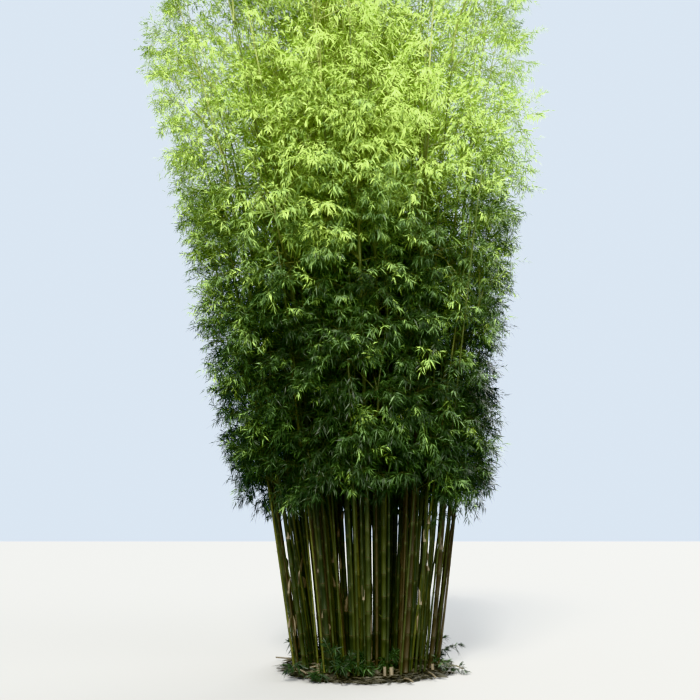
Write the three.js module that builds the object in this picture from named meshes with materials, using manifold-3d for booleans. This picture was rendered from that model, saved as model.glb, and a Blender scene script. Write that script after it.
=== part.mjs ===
// A rooted clump of tall clumping bamboo, in millimetres, +Z up. The ground is z = 0 and the origin is the
// middle of the flat cut under the rootstock. Culms rise from one low woody rootstock, lean outwards, taper
// to their ends and carry a crown that widens with height. The crown is made of foliage masses: each is one
// stem that goes on from a culm, with twigs and broad leaf sprays fused on, and keeps to its own space.
import * as THREE from "three";
import { mergeVertices } from "three/addons/utils/BufferGeometryUtils.js";
import Module from "manifold-3d";

const wasm = await Module();
wasm.setup();

// Driving dimensions of the whole clump.
const CLUMP_HEIGHT = 10800;
const CROWN_BOTTOM = 1950;
const CROWN_BOTTOM_RADIUS = 1540;
const CROWN_WIDEST_HEIGHT = 8300;
const CROWN_WIDEST_RADIUS = 2960;
const CROWN_WIDENING_POWER = 0.9;
const CROWN_LEAN = -340; // sideways, at the height where the crown is widest
const LEAN_POWER = 1.7;
const SEAT_GAP = 0.3; // between solids that rest on each other

// The rootstock, a low stool with lobes where the outer culms stand.
const ROOT_HEIGHT = 70;
const ROOT_RADIUS = 940;
const ROOT_SHOULDER_RADIUS = 905;
const ROOT_SHOULDER_HEIGHT = 40;
const ROOT_SIDES = 48;
const ROOT_LOBES = 12;
const ROOT_LOBE_SHARE = 0.025;

// Culms: single ones in two staggered rings, and knots of seven from one knuckle inside the rings.
const SINGLE_CULMS = 24;
const OUTER_RING = 800;
const INNER_RING = 645;
const KNOTS = 7;
const KNOT_RING = 372;
const KNOT_CULMS = 7;
const KNOT_CULM_RING = 122;
const FOOT_JITTER = 26;
const SINGLE_RADIUS = [23, 29];
const KNOT_RADIUS = [20, 27];
const CULM_LENGTH = [8700, 9900];
const TAPER = 0.94;
const TAPER_POWER = 1.6;
const THINNEST = 9;
const FLARE = 1.22; // of a culm that stands alone
const FLARE_HEIGHT = 90;
const SPREAD_PER_METRE = 0.19; // how much further apart the culms stand for each metre up
const ARCH_FROM = 4500;
const ARCH_PER_SQUARE_METRE = 0.026;
const HEAD_OFFSET = 105; // a culm's own way off the even spread, at 5 m
const SINGLE_SIDES = 6;
const SINGLE_STEPS = 5;
const KNOT_SIDES = 5;
const KNOT_STEPS = 4;
const FREE_TIP = [6500, 7600];
const KNUCKLE_RADIUS = 172;
const KNUCKLE_TOP_RADIUS = 163;
const KNUCKLE_HEIGHT = 75;
const KNUCKLE_SIDES = 9;

// Foliage masses, spaced evenly over the crown's surface from its foot to its top.
const MASSES = 28;
const SEED_DEPTH = 520;
const STEM_END_DEPTH = 330;
const LOWER_FOLIAGE_TOP = 4300;
const PLUME_FROM = 6300;
const SIDE_STEM_DROP = 520; // how far under the middle of its mass a side stem leaves its culm
const PLUME_STEM_DROP = 1000;
const STEM_RADIUS = [20, 16];
const STEP_MARGIN = 0.06; // a side stem's least share of a culm's step from either end of the step
const STEM_STEPS = 4;
const SIDE_STEM_REACH = 300;
const LIMB_SIDES = 3;
const CLEFT_DEPTH = 380; // how far the crown falls back between two masses
const CLEFT_REACH = 1250; // from the middle of a mass to the cleft
const TWIGS = 142; // over the whole crown
const TWIG_DEPTH = 240;
const TWIG_RADIUS = 8;
const TWIG_SHARES = Array.from({ length: 15 }, (_, k) => 0.3 + k * 0.05); // of the stem, for the twigs' roots
const TWIG_SLANT_SHARE = 0.22;
const FIRST_LEAF_STEP = 0.35; // of the leaf spacing, from the twig's end
const LEAVES_PER_TWIG = 4;
const LEAF_SPACING = 60; // along the end of a twig
const LEAF_REACH = 600; // sideways from the twig's end to a leaf's tip
const LEAF_DROOP = 150;
const LEAF_HALF_WIDTH = 140;
const LEAF_THICKNESS = 22;
const LEAF_WIDEST = 0.38;
const TIP_JITTER = 70;
const LEAF_TURNS = [0, 0.4, -0.4, 0.8, -0.8]; // tried in turn until the leaf fits
const CELL_MARGIN = 5;
const CLEARANCE = 12;

const GOLDEN_ANGLE = Math.PI * (3 - Math.sqrt(5));
const UP = new THREE.Vector3(0, 0, 1);

// A repeatable source of numbers from 0 to 1.
function seeded(seed) {
  let state = seed >>> 0;
  return () => {
    state = (state + 0x6d2b79f5) >>> 0;
    let mixed = Math.imul(state ^ (state >>> 15), state | 1);
    mixed ^= mixed + Math.imul(mixed ^ (mixed >>> 7), mixed | 61);
    return ((mixed ^ (mixed >>> 14)) >>> 0) / 4294967296;
  };
}

const between = (range, share) => range[0] + (range[1] - range[0]) * share;

// A three.js geometry as a closed solid.
function solid(geometry) {
  const shape = geometry.clone();
  shape.deleteAttribute("normal");
  shape.deleteAttribute("uv");
  const merged = mergeVertices(shape, 1e-3);
  const corners = merged.index.array;
  const kept = [];
  for (let i = 0; i < corners.length; i += 3) {
    const [a, b, c] = [corners[i], corners[i + 1], corners[i + 2]];
    if (a !== b && b !== c && a !== c) kept.push(a, b, c);
  }
  return new wasm.Manifold(
    new wasm.Mesh({
      numProp: 3,
      vertProperties: new Float32Array(merged.attributes.position.array),
      triVerts: new Uint32Array(kept),
    }),
  );
}

// A closed solid as a three.js geometry.
function geometryOf(made) {
  const mesh = made.getMesh();
  return new THREE.BufferGeometry()
    .setAttribute("position", new THREE.BufferAttribute(new Float32Array(mesh.vertProperties), 3))
    .setIndex(new THREE.BufferAttribute(new Uint32Array(mesh.triVerts), 1));
}

// The outside of the largest body of a fused solid: loose scraps are dropped and sealed hollows filled.
function oneBody(fused) {
  const bodies = fused.decompose();
  return bodies.reduce((best, body) => (body.volume() > best.volume() ? body : best));
}

const leanAt = (z) => CROWN_LEAN * (Math.max(z, 0) / CROWN_WIDEST_HEIGHT) ** LEAN_POWER;

function spreadAt(z) {
  const arch = Math.max(z - ARCH_FROM, 0) / 1000;
  return 1 + (SPREAD_PER_METRE * z) / 1000 + ARCH_PER_SQUARE_METRE * arch * arch;
}

function culmCentre(culm, z) {
  const own = (z / 5000) ** 1.3;
  return new THREE.Vector3(
    culm.foot.x * spreadAt(z) + culm.head.x * own + leanAt(z),
    culm.foot.y * spreadAt(z) + culm.head.y * own,
    z,
  );
}

function culmRadius(culm, z) {
  const taper = 1 - TAPER * Math.min(z / culm.length, 1) ** TAPER_POWER;
  const flare = culm.knot === null && z < ROOT_HEIGHT + FLARE_HEIGHT / 2 ? FLARE : 1;
  return Math.max(culm.radius * taper * flare, THINNEST);
}

// Where every culm stands, with its size and its own way off the even spread.
function plantCulms() {
  const draw = seeded(4012);
  const culm = (x, y, radii, knot) => ({
    foot: new THREE.Vector2(x + FOOT_JITTER * (draw() - 0.5), y + FOOT_JITTER * (draw() - 0.5)),
    head: new THREE.Vector2(HEAD_OFFSET, 0).rotateAround(new THREE.Vector2(), 2 * Math.PI * draw()),
    radius: between(radii, draw()),
    length: between(CULM_LENGTH, draw()),
    end: between(FREE_TIP, draw()),
    edge: Math.atan2(y, x),
    knot,
  });
  const culms = [];
  for (let k = 0; k < SINGLE_CULMS; k++) {
    const azimuth = (2 * Math.PI * k) / SINGLE_CULMS;
    const ring = k % 2 ? INNER_RING : OUTER_RING;
    culms.push(culm(ring * Math.cos(azimuth), ring * Math.sin(azimuth), SINGLE_RADIUS, null));
  }
  for (let n = 0; n < KNOTS; n++) {
    const ring = n === 0 ? 0 : KNOT_RING;
    const azimuth = (2 * Math.PI * (n - 0.5)) / (KNOTS - 1);
    for (let k = 0; k < KNOT_CULMS; k++) {
      const own = k === 0 ? 0 : KNOT_CULM_RING;
      const turn = (2 * Math.PI * k) / (KNOT_CULMS - 1) + n;
      const x = ring * Math.cos(azimuth) + own * Math.cos(turn);
      const y = ring * Math.sin(azimuth) + own * Math.sin(turn);
      culms.push(culm(x, y, KNOT_RADIUS, n));
    }
  }
  return culms;
}

// The crown's outline: its radius at a height.
function crownRadius(z) {
  if (z > CROWN_WIDEST_HEIGHT) {
    const share = (z - CROWN_WIDEST_HEIGHT) / (CLUMP_HEIGHT - CROWN_WIDEST_HEIGHT);
    return CROWN_WIDEST_RADIUS * Math.sqrt(Math.max(1 - share * share, 0));
  }
  const share = Math.max(z - CROWN_BOTTOM, 0) / (CROWN_WIDEST_HEIGHT - CROWN_BOTTOM);
  const widening = CROWN_WIDEST_RADIUS - CROWN_BOTTOM_RADIUS;
  return CROWN_BOTTOM_RADIUS + widening * share ** CROWN_WIDENING_POWER;
}

// The outline as points from the crown's foot to its top, each with the share of the surface below it.
function crownProfile() {
  const steps = 300;
  const points = [];
  let area = 0;
  for (let i = 0; i <= steps; i++) {
    const z = CROWN_BOTTOM + (CLUMP_HEIGHT - CROWN_BOTTOM) * Math.sin((Math.PI / 2) * (i / steps));
    const point = { z, r: crownRadius(z), area: 0 };
    if (i > 0) {
      const last = points[i - 1];
      area += (last.r + point.r) * Math.hypot(point.r - last.r, point.z - last.z);
      point.area = area;
    }
    points.push(point);
  }
  points.forEach((point) => (point.area /= area));
  return points;
}

const profile = crownProfile();

// A place on the crown's surface, with the directions out of it, round it and up along it.
function crownPlace(share, azimuth) {
  const above = Math.max(profile.findIndex((point) => point.area >= share), 1);
  const [low, high] = [profile[above - 1], profile[above]];
  const part = (share - low.area) / (high.area - low.area);
  const z = low.z + (high.z - low.z) * part;
  const r = low.r + (high.r - low.r) * part;
  const away = new THREE.Vector3(Math.cos(azimuth), Math.sin(azimuth), 0);
  const along = away.clone().multiplyScalar(high.r - low.r).setZ(high.z - low.z).normalize();
  const round = new THREE.Vector3(-away.y, away.x, 0);
  return {
    point: new THREE.Vector3(away.x * r + leanAt(z), away.y * r, z),
    out: new THREE.Vector3().crossVectors(round, along).normalize(),
    round,
    along,
  };
}

// Evenly spaced places on the crown's surface, in one spiral from its foot to its top.
const crownSpiral = (count) =>
  Array.from({ length: count }, (_, k) => crownPlace((k + 0.5) / count, k * GOLDEN_ANGLE));

const inwards = (place, depth) => place.point.clone().addScaledVector(place.out, -depth);

// A tapering limb with a flat foot. Its foot faces back along the curve's first direction.
function limb(curve, radii, steps) {
  const side = levelSide(curve.getPoint(0), curve.getPoint(1));
  const shape = new THREE.CylinderGeometry(1, 1, 1, LIMB_SIDES, steps);
  const position = shape.attributes.position;
  for (let i = 0; i < position.count; i++) {
    const share = position.getY(i) + 0.5;
    const tangent = curve.getTangent(share);
    const across = side.clone().addScaledVector(tangent, -side.dot(tangent)).normalize();
    const other = new THREE.Vector3().crossVectors(across, tangent);
    const radius = between(radii, share);
    const place = curve
      .getPoint(share)
      .addScaledVector(across, position.getX(i) * radius)
      .addScaledVector(other, position.getZ(i) * radius);
    position.setXYZ(i, place.x, place.y, place.z);
  }
  return solid(shape);
}

// A direction square to a line, as level as can be.
function levelSide(from, to) {
  const side = new THREE.Vector3().subVectors(to, from).cross(UP);
  return side.lengthSq() > 1 ? side.normalize() : new THREE.Vector3(1, 0, 0);
}

// One culm: a many-sided tube, level at each step, with a wider foot and one edge at its own azimuth.
function culmSolid(culm, sides) {
  const heights = culmHeights(culm);
  const shape = new THREE.CylinderGeometry(1, 1, 1, sides, heights.length - 1);
  const position = shape.attributes.position;
  for (let i = 0; i < position.count; i++) {
    const z = heights[Math.round((position.getY(i) + 0.5) * (heights.length - 1))];
    const centre = culmCentre(culm, z);
    const turn = culm.edge + Math.PI / 2 - Math.atan2(position.getZ(i), position.getX(i));
    const reach = Math.hypot(position.getX(i), position.getZ(i)) * culmRadius(culm, z);
    position.setXYZ(i, centre.x + reach * Math.cos(turn), centre.y + reach * Math.sin(turn), z);
  }
  return solid(shape);
}

function culmHeights(culm) {
  const steps = culm.knot === null ? SINGLE_STEPS : KNOT_STEPS;
  const first = ROOT_HEIGHT + FLARE_HEIGHT;
  const rises = Array.from({ length: steps }, (_, k) => first + ((culm.end - first) * k) / (steps - 1));
  return [ROOT_HEIGHT + SEAT_GAP, ...rises];
}

const culmLine = (culm) => culmHeights(culm).map((z) => culmCentre(culm, z));

// The low knuckle that joins the feet of a knot of culms.
function knuckle(culms) {
  const [top, bottom] = [KNUCKLE_TOP_RADIUS, KNUCKLE_RADIUS];
  const shape = new THREE.CylinderGeometry(top, bottom, KNUCKLE_HEIGHT, KNUCKLE_SIDES);
  shape.rotateX(Math.PI / 2);
  shape.translate(culms[0].foot.x, culms[0].foot.y, ROOT_HEIGHT + SEAT_GAP + KNUCKLE_HEIGHT / 2);
  return solid(shape);
}

function rootstock() {
  const shape = new THREE.LatheGeometry(
    [
      new THREE.Vector2(0, 0),
      new THREE.Vector2(ROOT_RADIUS, 0),
      new THREE.Vector2(ROOT_RADIUS, ROOT_SHOULDER_HEIGHT),
      new THREE.Vector2(ROOT_SHOULDER_RADIUS, ROOT_HEIGHT),
      new THREE.Vector2(0, ROOT_HEIGHT),
    ],
    ROOT_SIDES,
  );
  shape.rotateX(Math.PI / 2);
  const position = shape.attributes.position;
  for (let i = 0; i < position.count; i++) {
    const azimuth = Math.atan2(position.getY(i), position.getX(i));
    const lobe = 1 + ROOT_LOBE_SHARE * Math.cos(ROOT_LOBES * azimuth);
    position.setXY(i, position.getX(i) * lobe, position.getY(i) * lobe);
  }
  return solid(shape);
}

// A broad blade that stands for a spray of leaves: a ridge from its root to its tip, over the line between
// its two side corners, which lie on the side that "under" points to.
function leafBlade(root, tip, under) {
  const along = new THREE.Vector3().subVectors(tip, root);
  const across = along.clone().cross(under).setLength(LEAF_HALF_WIDTH);
  const down = new THREE.Vector3().crossVectors(across, along).setLength(LEAF_THICKNESS);
  const sides = root.clone().addScaledVector(along, LEAF_WIDEST).add(down);
  const ridge = root.clone().addScaledVector(along, 0.5);
  const blade = new THREE.TetrahedronGeometry(Math.sqrt(3));
  blade.rotateZ(Math.PI / 4);
  blade.scale(Math.SQRT1_2, Math.SQRT1_2, 1);
  const rise = new THREE.Vector3().subVectors(ridge, sides).multiplyScalar(0.5);
  const middle = new THREE.Vector3().addVectors(ridge, sides).multiplyScalar(0.5);
  const frame = new THREE.Matrix4().makeBasis(across, along.multiplyScalar(-0.5), rise);
  blade.applyMatrix4(frame.setPosition(middle));
  return solid(blade);
}

// The straight stretches of each culm and each mass's stem.
const stretches = new Map();
function setStretches(owner, points, radius) {
  const lines = points.slice(1).map((point, i) => new THREE.Line3(points[i], point));
  stretches.set(owner, { lines, radius });
}

// Whether a slim thing from one point to another stays clear of every culm and stem but its own.
function isClear(from, to, halfWidth, owner) {
  const slim = new THREE.Line3(from, to);
  for (const [other, { lines, radius }] of stretches) {
    const needed = (halfWidth + radius + CLEARANCE) ** 2;
    if (other !== owner && lines.some((line) => slim.distanceSqToLine3(line) < needed)) return false;
  }
  return true;
}

// Whether points lie in one seed's own share of the crown: nearer to it than to any other seed.
function inOwnShare(points, seed, seeds) {
  return points.every((point) =>
    seeds.every((other) => {
      if (other === seed) return true;
      const apart = seed.distanceTo(other);
      return point.distanceToSquared(other) - point.distanceToSquared(seed) > 2 * apart * CELL_MARGIN;
    }),
  );
}

// The line of a mass's stem on a culm. From a culm's end it goes straight up at first, and from a culm's side
// it starts square to the edge that faces the mass.
function stemCurve(mass, host) {
  if (mass.plume) {
    const start = culmCentre(host, mass.stemHeight).addScaledVector(UP, SEAT_GAP);
    const rise = (mass.end.z - start.z) * 0.6;
    return new THREE.QuadraticBezierCurve3(start, start.clone().addScaledVector(UP, rise), mass.end);
  }
  const heights = culmHeights(host);
  const upper = heights.findIndex((z) => z > mass.stemHeight);
  const [low, high] = [heights[upper - 1], heights[upper]];
  const edgeAzimuth = facing(host, mass);
  const level = new THREE.Vector3(Math.cos(edgeAzimuth), Math.sin(edgeAzimuth), 0);
  const [below, above] = [low, high].map((z) =>
    culmCentre(host, z).addScaledVector(level, culmRadius(host, z)),
  );
  const edge = new THREE.Vector3().subVectors(above, below).normalize();
  const out = level.clone().addScaledVector(edge, -level.dot(edge)).normalize();
  const share = THREE.MathUtils.clamp((mass.stemHeight - low) / (high - low), STEP_MARGIN, 1 - STEP_MARGIN);
  const start = new THREE.Vector3().lerpVectors(below, above, share).addScaledVector(out, SEAT_GAP);
  const reach = Math.min(SIDE_STEM_REACH, start.distanceTo(mass.end) / 2);
  return new THREE.QuadraticBezierCurve3(start, start.clone().addScaledVector(out, reach), mass.end);
}

// The azimuth from a culm to the middle of a mass, at the height where its stem leaves the culm.
function facing(culm, mass) {
  const from = culmCentre(culm, mass.stemHeight);
  return Math.atan2(mass.seed.y - from.y, mass.seed.x - from.x);
}

// Gives each mass the nearest free culm whose stem for it stays clear. A plume goes on from its culm's end.
function chooseHosts(masses, culms) {
  for (const mass of masses) {
    const middle = mass.seed.clone().setZ(mass.stemHeight);
    const apart = (culm) => culmCentre(culm, mass.stemHeight).distanceTo(middle);
    const able = culms.filter((culm) => !culm.mass && (mass.plume || culm.knot === null));
    able.sort((a, b) => apart(a) - apart(b));
    const host = able.find((culm) => {
      const points = stemCurve(mass, culm).getPoints(STEM_STEPS);
      return points.every((point, i) => i === 0 || isClear(points[i - 1], point, STEM_RADIUS[0], culm));
    });
    host.mass = mass;
    host.edge = facing(host, mass);
    if (mass.plume) host.end = mass.stemHeight;
    setStretches(host, culmLine(host), host.radius);
    mass.curve = stemCurve(mass, host);
    setStretches(mass, mass.curve.getPoints(STEM_STEPS), STEM_RADIUS[0]);
  }
}

// Where a twig's leaves reach to: on the crown's surface, or behind it in the clefts between the masses.
function frontOf(place, mass) {
  const share = place.point.distanceTo(mass.place.point) / CLEFT_REACH;
  return inwards(place, CLEFT_DEPTH * share * share);
}

// A twig from the stem to a little inside the crown's front, with the leaves at its end.
function twigWithLeaves(place, mass, seeds, draw) {
  const front = frontOf(place, mass);
  const end = front.clone().addScaledVector(place.out, -TWIG_DEPTH);
  const root = twigRoots(mass, end).find(
    (at) => inOwnShare([at, end], mass.seed, seeds) && isClear(at, end, TWIG_RADIUS, mass),
  );
  const leafAngle = 2 * Math.PI * draw();
  if (!root) return [];
  const made = [limb(new THREE.LineCurve3(root, end), [TWIG_RADIUS, TWIG_RADIUS], 1)];
  const along = new THREE.Vector3().subVectors(end, root).normalize();
  for (let k = 0; k < LEAVES_PER_TWIG; k++) {
    const foot = end.clone().addScaledVector(along, -LEAF_SPACING * (k + FIRST_LEAF_STEP));
    const depth = TIP_JITTER * draw();
    for (const turn of LEAF_TURNS) {
      const angle = leafAngle + (2 * Math.PI * k) / LEAVES_PER_TWIG + turn;
      const tip = front
        .clone()
        .addScaledVector(place.round, LEAF_REACH * Math.cos(angle))
        .addScaledVector(place.along, LEAF_REACH * Math.sin(angle))
        .addScaledVector(place.out, -depth)
        .addScaledVector(UP, -LEAF_DROOP);
      if (!leafFits(foot, tip, place.out, mass, seeds)) continue;
      made.push(leafBlade(foot, tip, place.out.clone().negate()));
      break;
    }
  }
  return made;
}

// Where a twig to the given end may leave its stem: first a little back from the nearest place.
function twigRoots(mass, end) {
  const shares = Array.from(TWIG_SHARES);
  const apart = (share) => mass.curve.getPoint(share).distanceTo(end);
  const nearest = shares.reduce((best, share) => (apart(share) < apart(best) ? share : best));
  const wanted = nearest - TWIG_SLANT_SHARE;
  shares.sort((a, b) => Math.abs(a - wanted) - Math.abs(b - wanted));
  return shares.map((share) => mass.curve.getPoint(share));
}

// Whether a blade lies in its mass's own share, with its ridge, its edges and its width clear of the limbs.
function leafFits(foot, tip, out, mass, seeds) {
  const wide = new THREE.Vector3().subVectors(tip, foot).cross(out).setLength(LEAF_HALF_WIDTH);
  const middle = new THREE.Vector3().lerpVectors(foot, tip, LEAF_WIDEST);
  const [left, right] = [middle.clone().add(wide), middle.clone().sub(wide)];
  const lines = [[foot, tip], [left, right], [foot, left], [foot, right], [left, tip], [right, tip]];
  return (
    inOwnShare([foot, tip, left, right], mass.seed, seeds) &&
    lines.every(([from, to]) => isClear(from, to, LEAF_THICKNESS, mass))
  );
}

function foliageMass(mass, places, seeds, draw) {
  const stem = limb(mass.curve, STEM_RADIUS, STEM_STEPS);
  const twigs = places.flatMap((place) => twigWithLeaves(place, mass, seeds, draw));
  return oneBody(wasm.Manifold.union([stem, ...twigs]));
}

const WOOD = new THREE.MeshStandardMaterial({ color: 0x6b5a3c, roughness: 0.9, metalness: 0 });
const CULM = new THREE.MeshStandardMaterial({ color: 0x59693a, roughness: 0.5, metalness: 0 });
const INNER_CULM = new THREE.MeshStandardMaterial({ color: 0x47552f, roughness: 0.6, metalness: 0 });
const LOWER_LEAF = new THREE.MeshStandardMaterial({ color: 0x2c4f1c, roughness: 0.6, metalness: 0 });
const MIDDLE_LEAF = new THREE.MeshStandardMaterial({ color: 0x4f8428, roughness: 0.6, metalness: 0 });
const PLUME_LEAF = new THREE.MeshStandardMaterial({ color: 0x8fb63c, roughness: 0.6, metalness: 0 });

const numbered = (word, n) => word + "_" + String(n).padStart(2, "0");

const clump = new THREE.Group();
function node(name, made, material) {
  const mesh = new THREE.Mesh(geometryOf(made), material);
  mesh.name = name;
  clump.add(mesh);
}

const culms = plantCulms();
for (const culm of culms) setStretches(culm, culmLine(culm), culm.radius);
const masses = crownSpiral(MASSES).map((place) => {
  const seed = inwards(place, SEED_DEPTH);
  const plume = seed.z > PLUME_FROM;
  const stemHeight = Math.max(seed.z - (plume ? PLUME_STEM_DROP : SIDE_STEM_DROP), CROWN_BOTTOM);
  return { place, seed, plume, stemHeight, end: inwards(place, STEM_END_DEPTH) };
});
chooseHosts(masses, culms);

node("rootstock", rootstock(), WOOD);
culms
  .filter((culm) => culm.knot === null)
  .forEach((culm, k) => node(numbered("culm", k + 1), culmSolid(culm, SINGLE_SIDES), CULM));
for (let n = 0; n < KNOTS; n++) {
  const group = culms.filter((culm) => culm.knot === n);
  const tubes = group.map((culm) => culmSolid(culm, KNOT_SIDES));
  node("culm_knot_" + (n + 1), oneBody(wasm.Manifold.union([knuckle(group), ...tubes])), INNER_CULM);
}

const seeds = masses.map((mass) => mass.seed);
const draw = seeded(77);
const counts = { lower_foliage: 0, middle_foliage: 0, plume: 0 };
const greens = { lower_foliage: LOWER_LEAF, middle_foliage: MIDDLE_LEAF, plume: PLUME_LEAF };
const twigPlaces = crownSpiral(TWIGS);
for (const mass of masses) {
  const own = twigPlaces.filter((place) => inOwnShare([inwards(place, TWIG_DEPTH)], mass.seed, seeds));
  const word = mass.plume ? "plume" : mass.seed.z < LOWER_FOLIAGE_TOP ? "lower_foliage" : "middle_foliage";
  counts[word] += 1;
  node(numbered(word, counts[word]), foliageMass(mass, own, seeds, draw), greens[word]);
}

export default clump;
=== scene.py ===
"""A rooted clump of clumping bamboo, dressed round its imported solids. Metres, +Z up, the ground at z = 0.

Culms stand in two staggered rings and in knots of seven, on one low rootstock. Each carries branches at its
nodes, each branch carries leafy twigs, and the foliage masses' own stems, twigs and sprays grow by the same rule
as in the solids. Leaves are sagging blades of two or three faces, and their greens are dealt out spray by spray.
"""
import math

import bmesh
import bpy
import numpy as np
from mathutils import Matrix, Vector


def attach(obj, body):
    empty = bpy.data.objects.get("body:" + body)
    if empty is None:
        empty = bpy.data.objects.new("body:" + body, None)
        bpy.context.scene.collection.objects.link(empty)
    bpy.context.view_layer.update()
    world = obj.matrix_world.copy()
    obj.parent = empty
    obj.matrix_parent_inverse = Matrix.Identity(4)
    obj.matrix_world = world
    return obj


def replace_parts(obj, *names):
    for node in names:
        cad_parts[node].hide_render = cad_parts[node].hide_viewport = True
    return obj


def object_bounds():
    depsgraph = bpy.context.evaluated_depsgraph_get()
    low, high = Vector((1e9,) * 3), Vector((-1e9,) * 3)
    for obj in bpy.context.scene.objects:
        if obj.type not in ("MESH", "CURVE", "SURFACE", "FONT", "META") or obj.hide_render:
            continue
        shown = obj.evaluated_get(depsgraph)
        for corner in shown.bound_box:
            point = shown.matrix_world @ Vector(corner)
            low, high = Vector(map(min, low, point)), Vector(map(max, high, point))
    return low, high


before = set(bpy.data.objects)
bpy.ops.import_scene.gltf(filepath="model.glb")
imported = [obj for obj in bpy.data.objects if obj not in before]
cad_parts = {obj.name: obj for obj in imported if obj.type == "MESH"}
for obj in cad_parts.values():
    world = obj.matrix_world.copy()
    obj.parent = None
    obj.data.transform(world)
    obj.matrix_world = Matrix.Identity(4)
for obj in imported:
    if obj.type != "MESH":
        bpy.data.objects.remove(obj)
CAD_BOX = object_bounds()

# The camera's place and turn, as the photograph was taken, and the length of its lens in millimetres.
CAMERA_PLACE = (-0.19, -9.1, 1.5)
CAMERA_TILT = math.radians(14.5)
CAMERA_LENS = 36.98

# The whole clump, with the same sizes and seeds as its solids.
SEED = 4012
TWIG_SEED = 77
CLUMP_HEIGHT = 10.8
CROWN_BOTTOM = 1.95
CROWN_BOTTOM_RADIUS = 1.54
CROWN_WIDEST_HEIGHT = 8.3
CROWN_WIDEST_RADIUS = 2.96
CROWN_WIDENING_POWER = 0.9
CROWN_LEAN = -0.34
LEAN_POWER = 1.7
SEAT_GAP = 0.0003

ROOT_HEIGHT = 0.07
ROOT_RADIUS = 0.94
ROOT_LOBES = 12
ROOT_LOBE_SHARE = 0.025

SINGLE_CULMS = 24
OUTER_RING = 0.8
INNER_RING = 0.645
KNOTS = 7
KNOT_RING = 0.372
KNOT_CULMS = 7
KNOT_CULM_RING = 0.122
FOOT_JITTER = 0.026
SINGLE_RADIUS = (0.023, 0.029)
KNOT_RADIUS = (0.020, 0.027)
CULM_LENGTH = (8.7, 9.9)
TAPER = 0.94
TAPER_POWER = 1.6
THINNEST = 0.009
FLARE = 1.22
FLARE_HEIGHT = 0.09
SPREAD_PER_METRE = 0.19
ARCH_FROM = 4.5
ARCH_PER_SQUARE_METRE = 0.026
HEAD_OFFSET = 0.105
HEAD_HEIGHT, HEAD_POWER = 5, 1.3  # how high a culm is that offset away, and how it gets there
SINGLE_STEPS = 5
KNOT_STEPS = 4
FREE_TIP = (6.5, 7.6)
KNUCKLE_RADIUS = 0.172
KNUCKLE_HEIGHT = 0.075

MASSES = 28
SEED_DEPTH = 0.52
STEM_END_DEPTH = 0.33
LOWER_FOLIAGE_TOP = 4.3
PLUME_FROM = 6.3
SIDE_STEM_DROP = 0.52
PLUME_STEM_DROP = 1.0
STEM_RADIUS = (0.020, 0.016)
STEP_MARGIN = 0.06
STEM_STEPS = 4
SIDE_STEM_REACH = 0.3
PLUME_STEM_UPRIGHT = 0.6
CLEFT_DEPTH = 0.38
CLEFT_REACH = 1.25
TWIGS = 142
TWIG_DEPTH = 0.24
TWIG_RADIUS = 0.008
TWIG_SHARES = [0.3 + 0.05 * k for k in range(15)]
TWIG_SLANT_SHARE = 0.22
FIRST_LEAF_STEP = 0.35
LEAVES_PER_TWIG = 4
LEAF_SPACING = 0.06
LEAF_REACH = 0.6
LEAF_DROOP = 0.15
LEAF_HALF_WIDTH = 0.14
LEAF_THICKNESS = 0.022
LEAF_WIDEST = 0.38
TIP_JITTER = 0.07
LEAF_TURNS = (0, 0.4, -0.4, 0.8, -0.8)
CELL_MARGIN = 0.005
CLEARANCE = 0.012

PROFILE_STEPS = 300
GOLDEN_ANGLE = math.pi * (3 - math.sqrt(5))
PARALLEL = 1e-12  # below this, two stretches count as parallel
UP = Vector((0, 0, 1))


def seeded(seed):
    """The same repeatable source of numbers from 0 to 1 that the solids are drawn with."""
    state = seed & 0xFFFFFFFF

    def draw():
        nonlocal state
        state = (state + 0x6D2B79F5) & 0xFFFFFFFF
        mixed = ((state ^ (state >> 15)) * (state | 1)) & 0xFFFFFFFF
        mixed ^= (mixed + (((mixed ^ (mixed >> 7)) * (mixed | 61)) & 0xFFFFFFFF)) & 0xFFFFFFFF
        return ((mixed ^ (mixed >> 14)) & 0xFFFFFFFF) / 4294967296

    return draw


def between(limits, share):
    return limits[0] + (limits[1] - limits[0]) * share


def on_ring(radius, azimuth):
    return radius * math.cos(azimuth), radius * math.sin(azimuth)


def lean_at(z):
    return CROWN_LEAN * (np.maximum(z, 0) / CROWN_WIDEST_HEIGHT) ** LEAN_POWER


def spread_at(z):
    return 1 + SPREAD_PER_METRE * z + ARCH_PER_SQUARE_METRE * max(z - ARCH_FROM, 0) ** 2


def culm_centre(culm, z):
    own = (z / HEAD_HEIGHT) ** HEAD_POWER
    (x, y), (head_x, head_y) = culm["foot"], culm["head"]
    return Vector((x * spread_at(z) + head_x * own + lean_at(z), y * spread_at(z) + head_y * own, z))


def culm_radius(culm, z, thinnest=THINNEST):
    taper = 1 - TAPER * min(z / culm["length"], 1) ** TAPER_POWER
    flare = FLARE if culm["knot"] is None and z < ROOT_HEIGHT + FLARE_HEIGHT / 2 else 1
    return max(culm["radius"] * taper * flare, thinnest)


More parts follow.
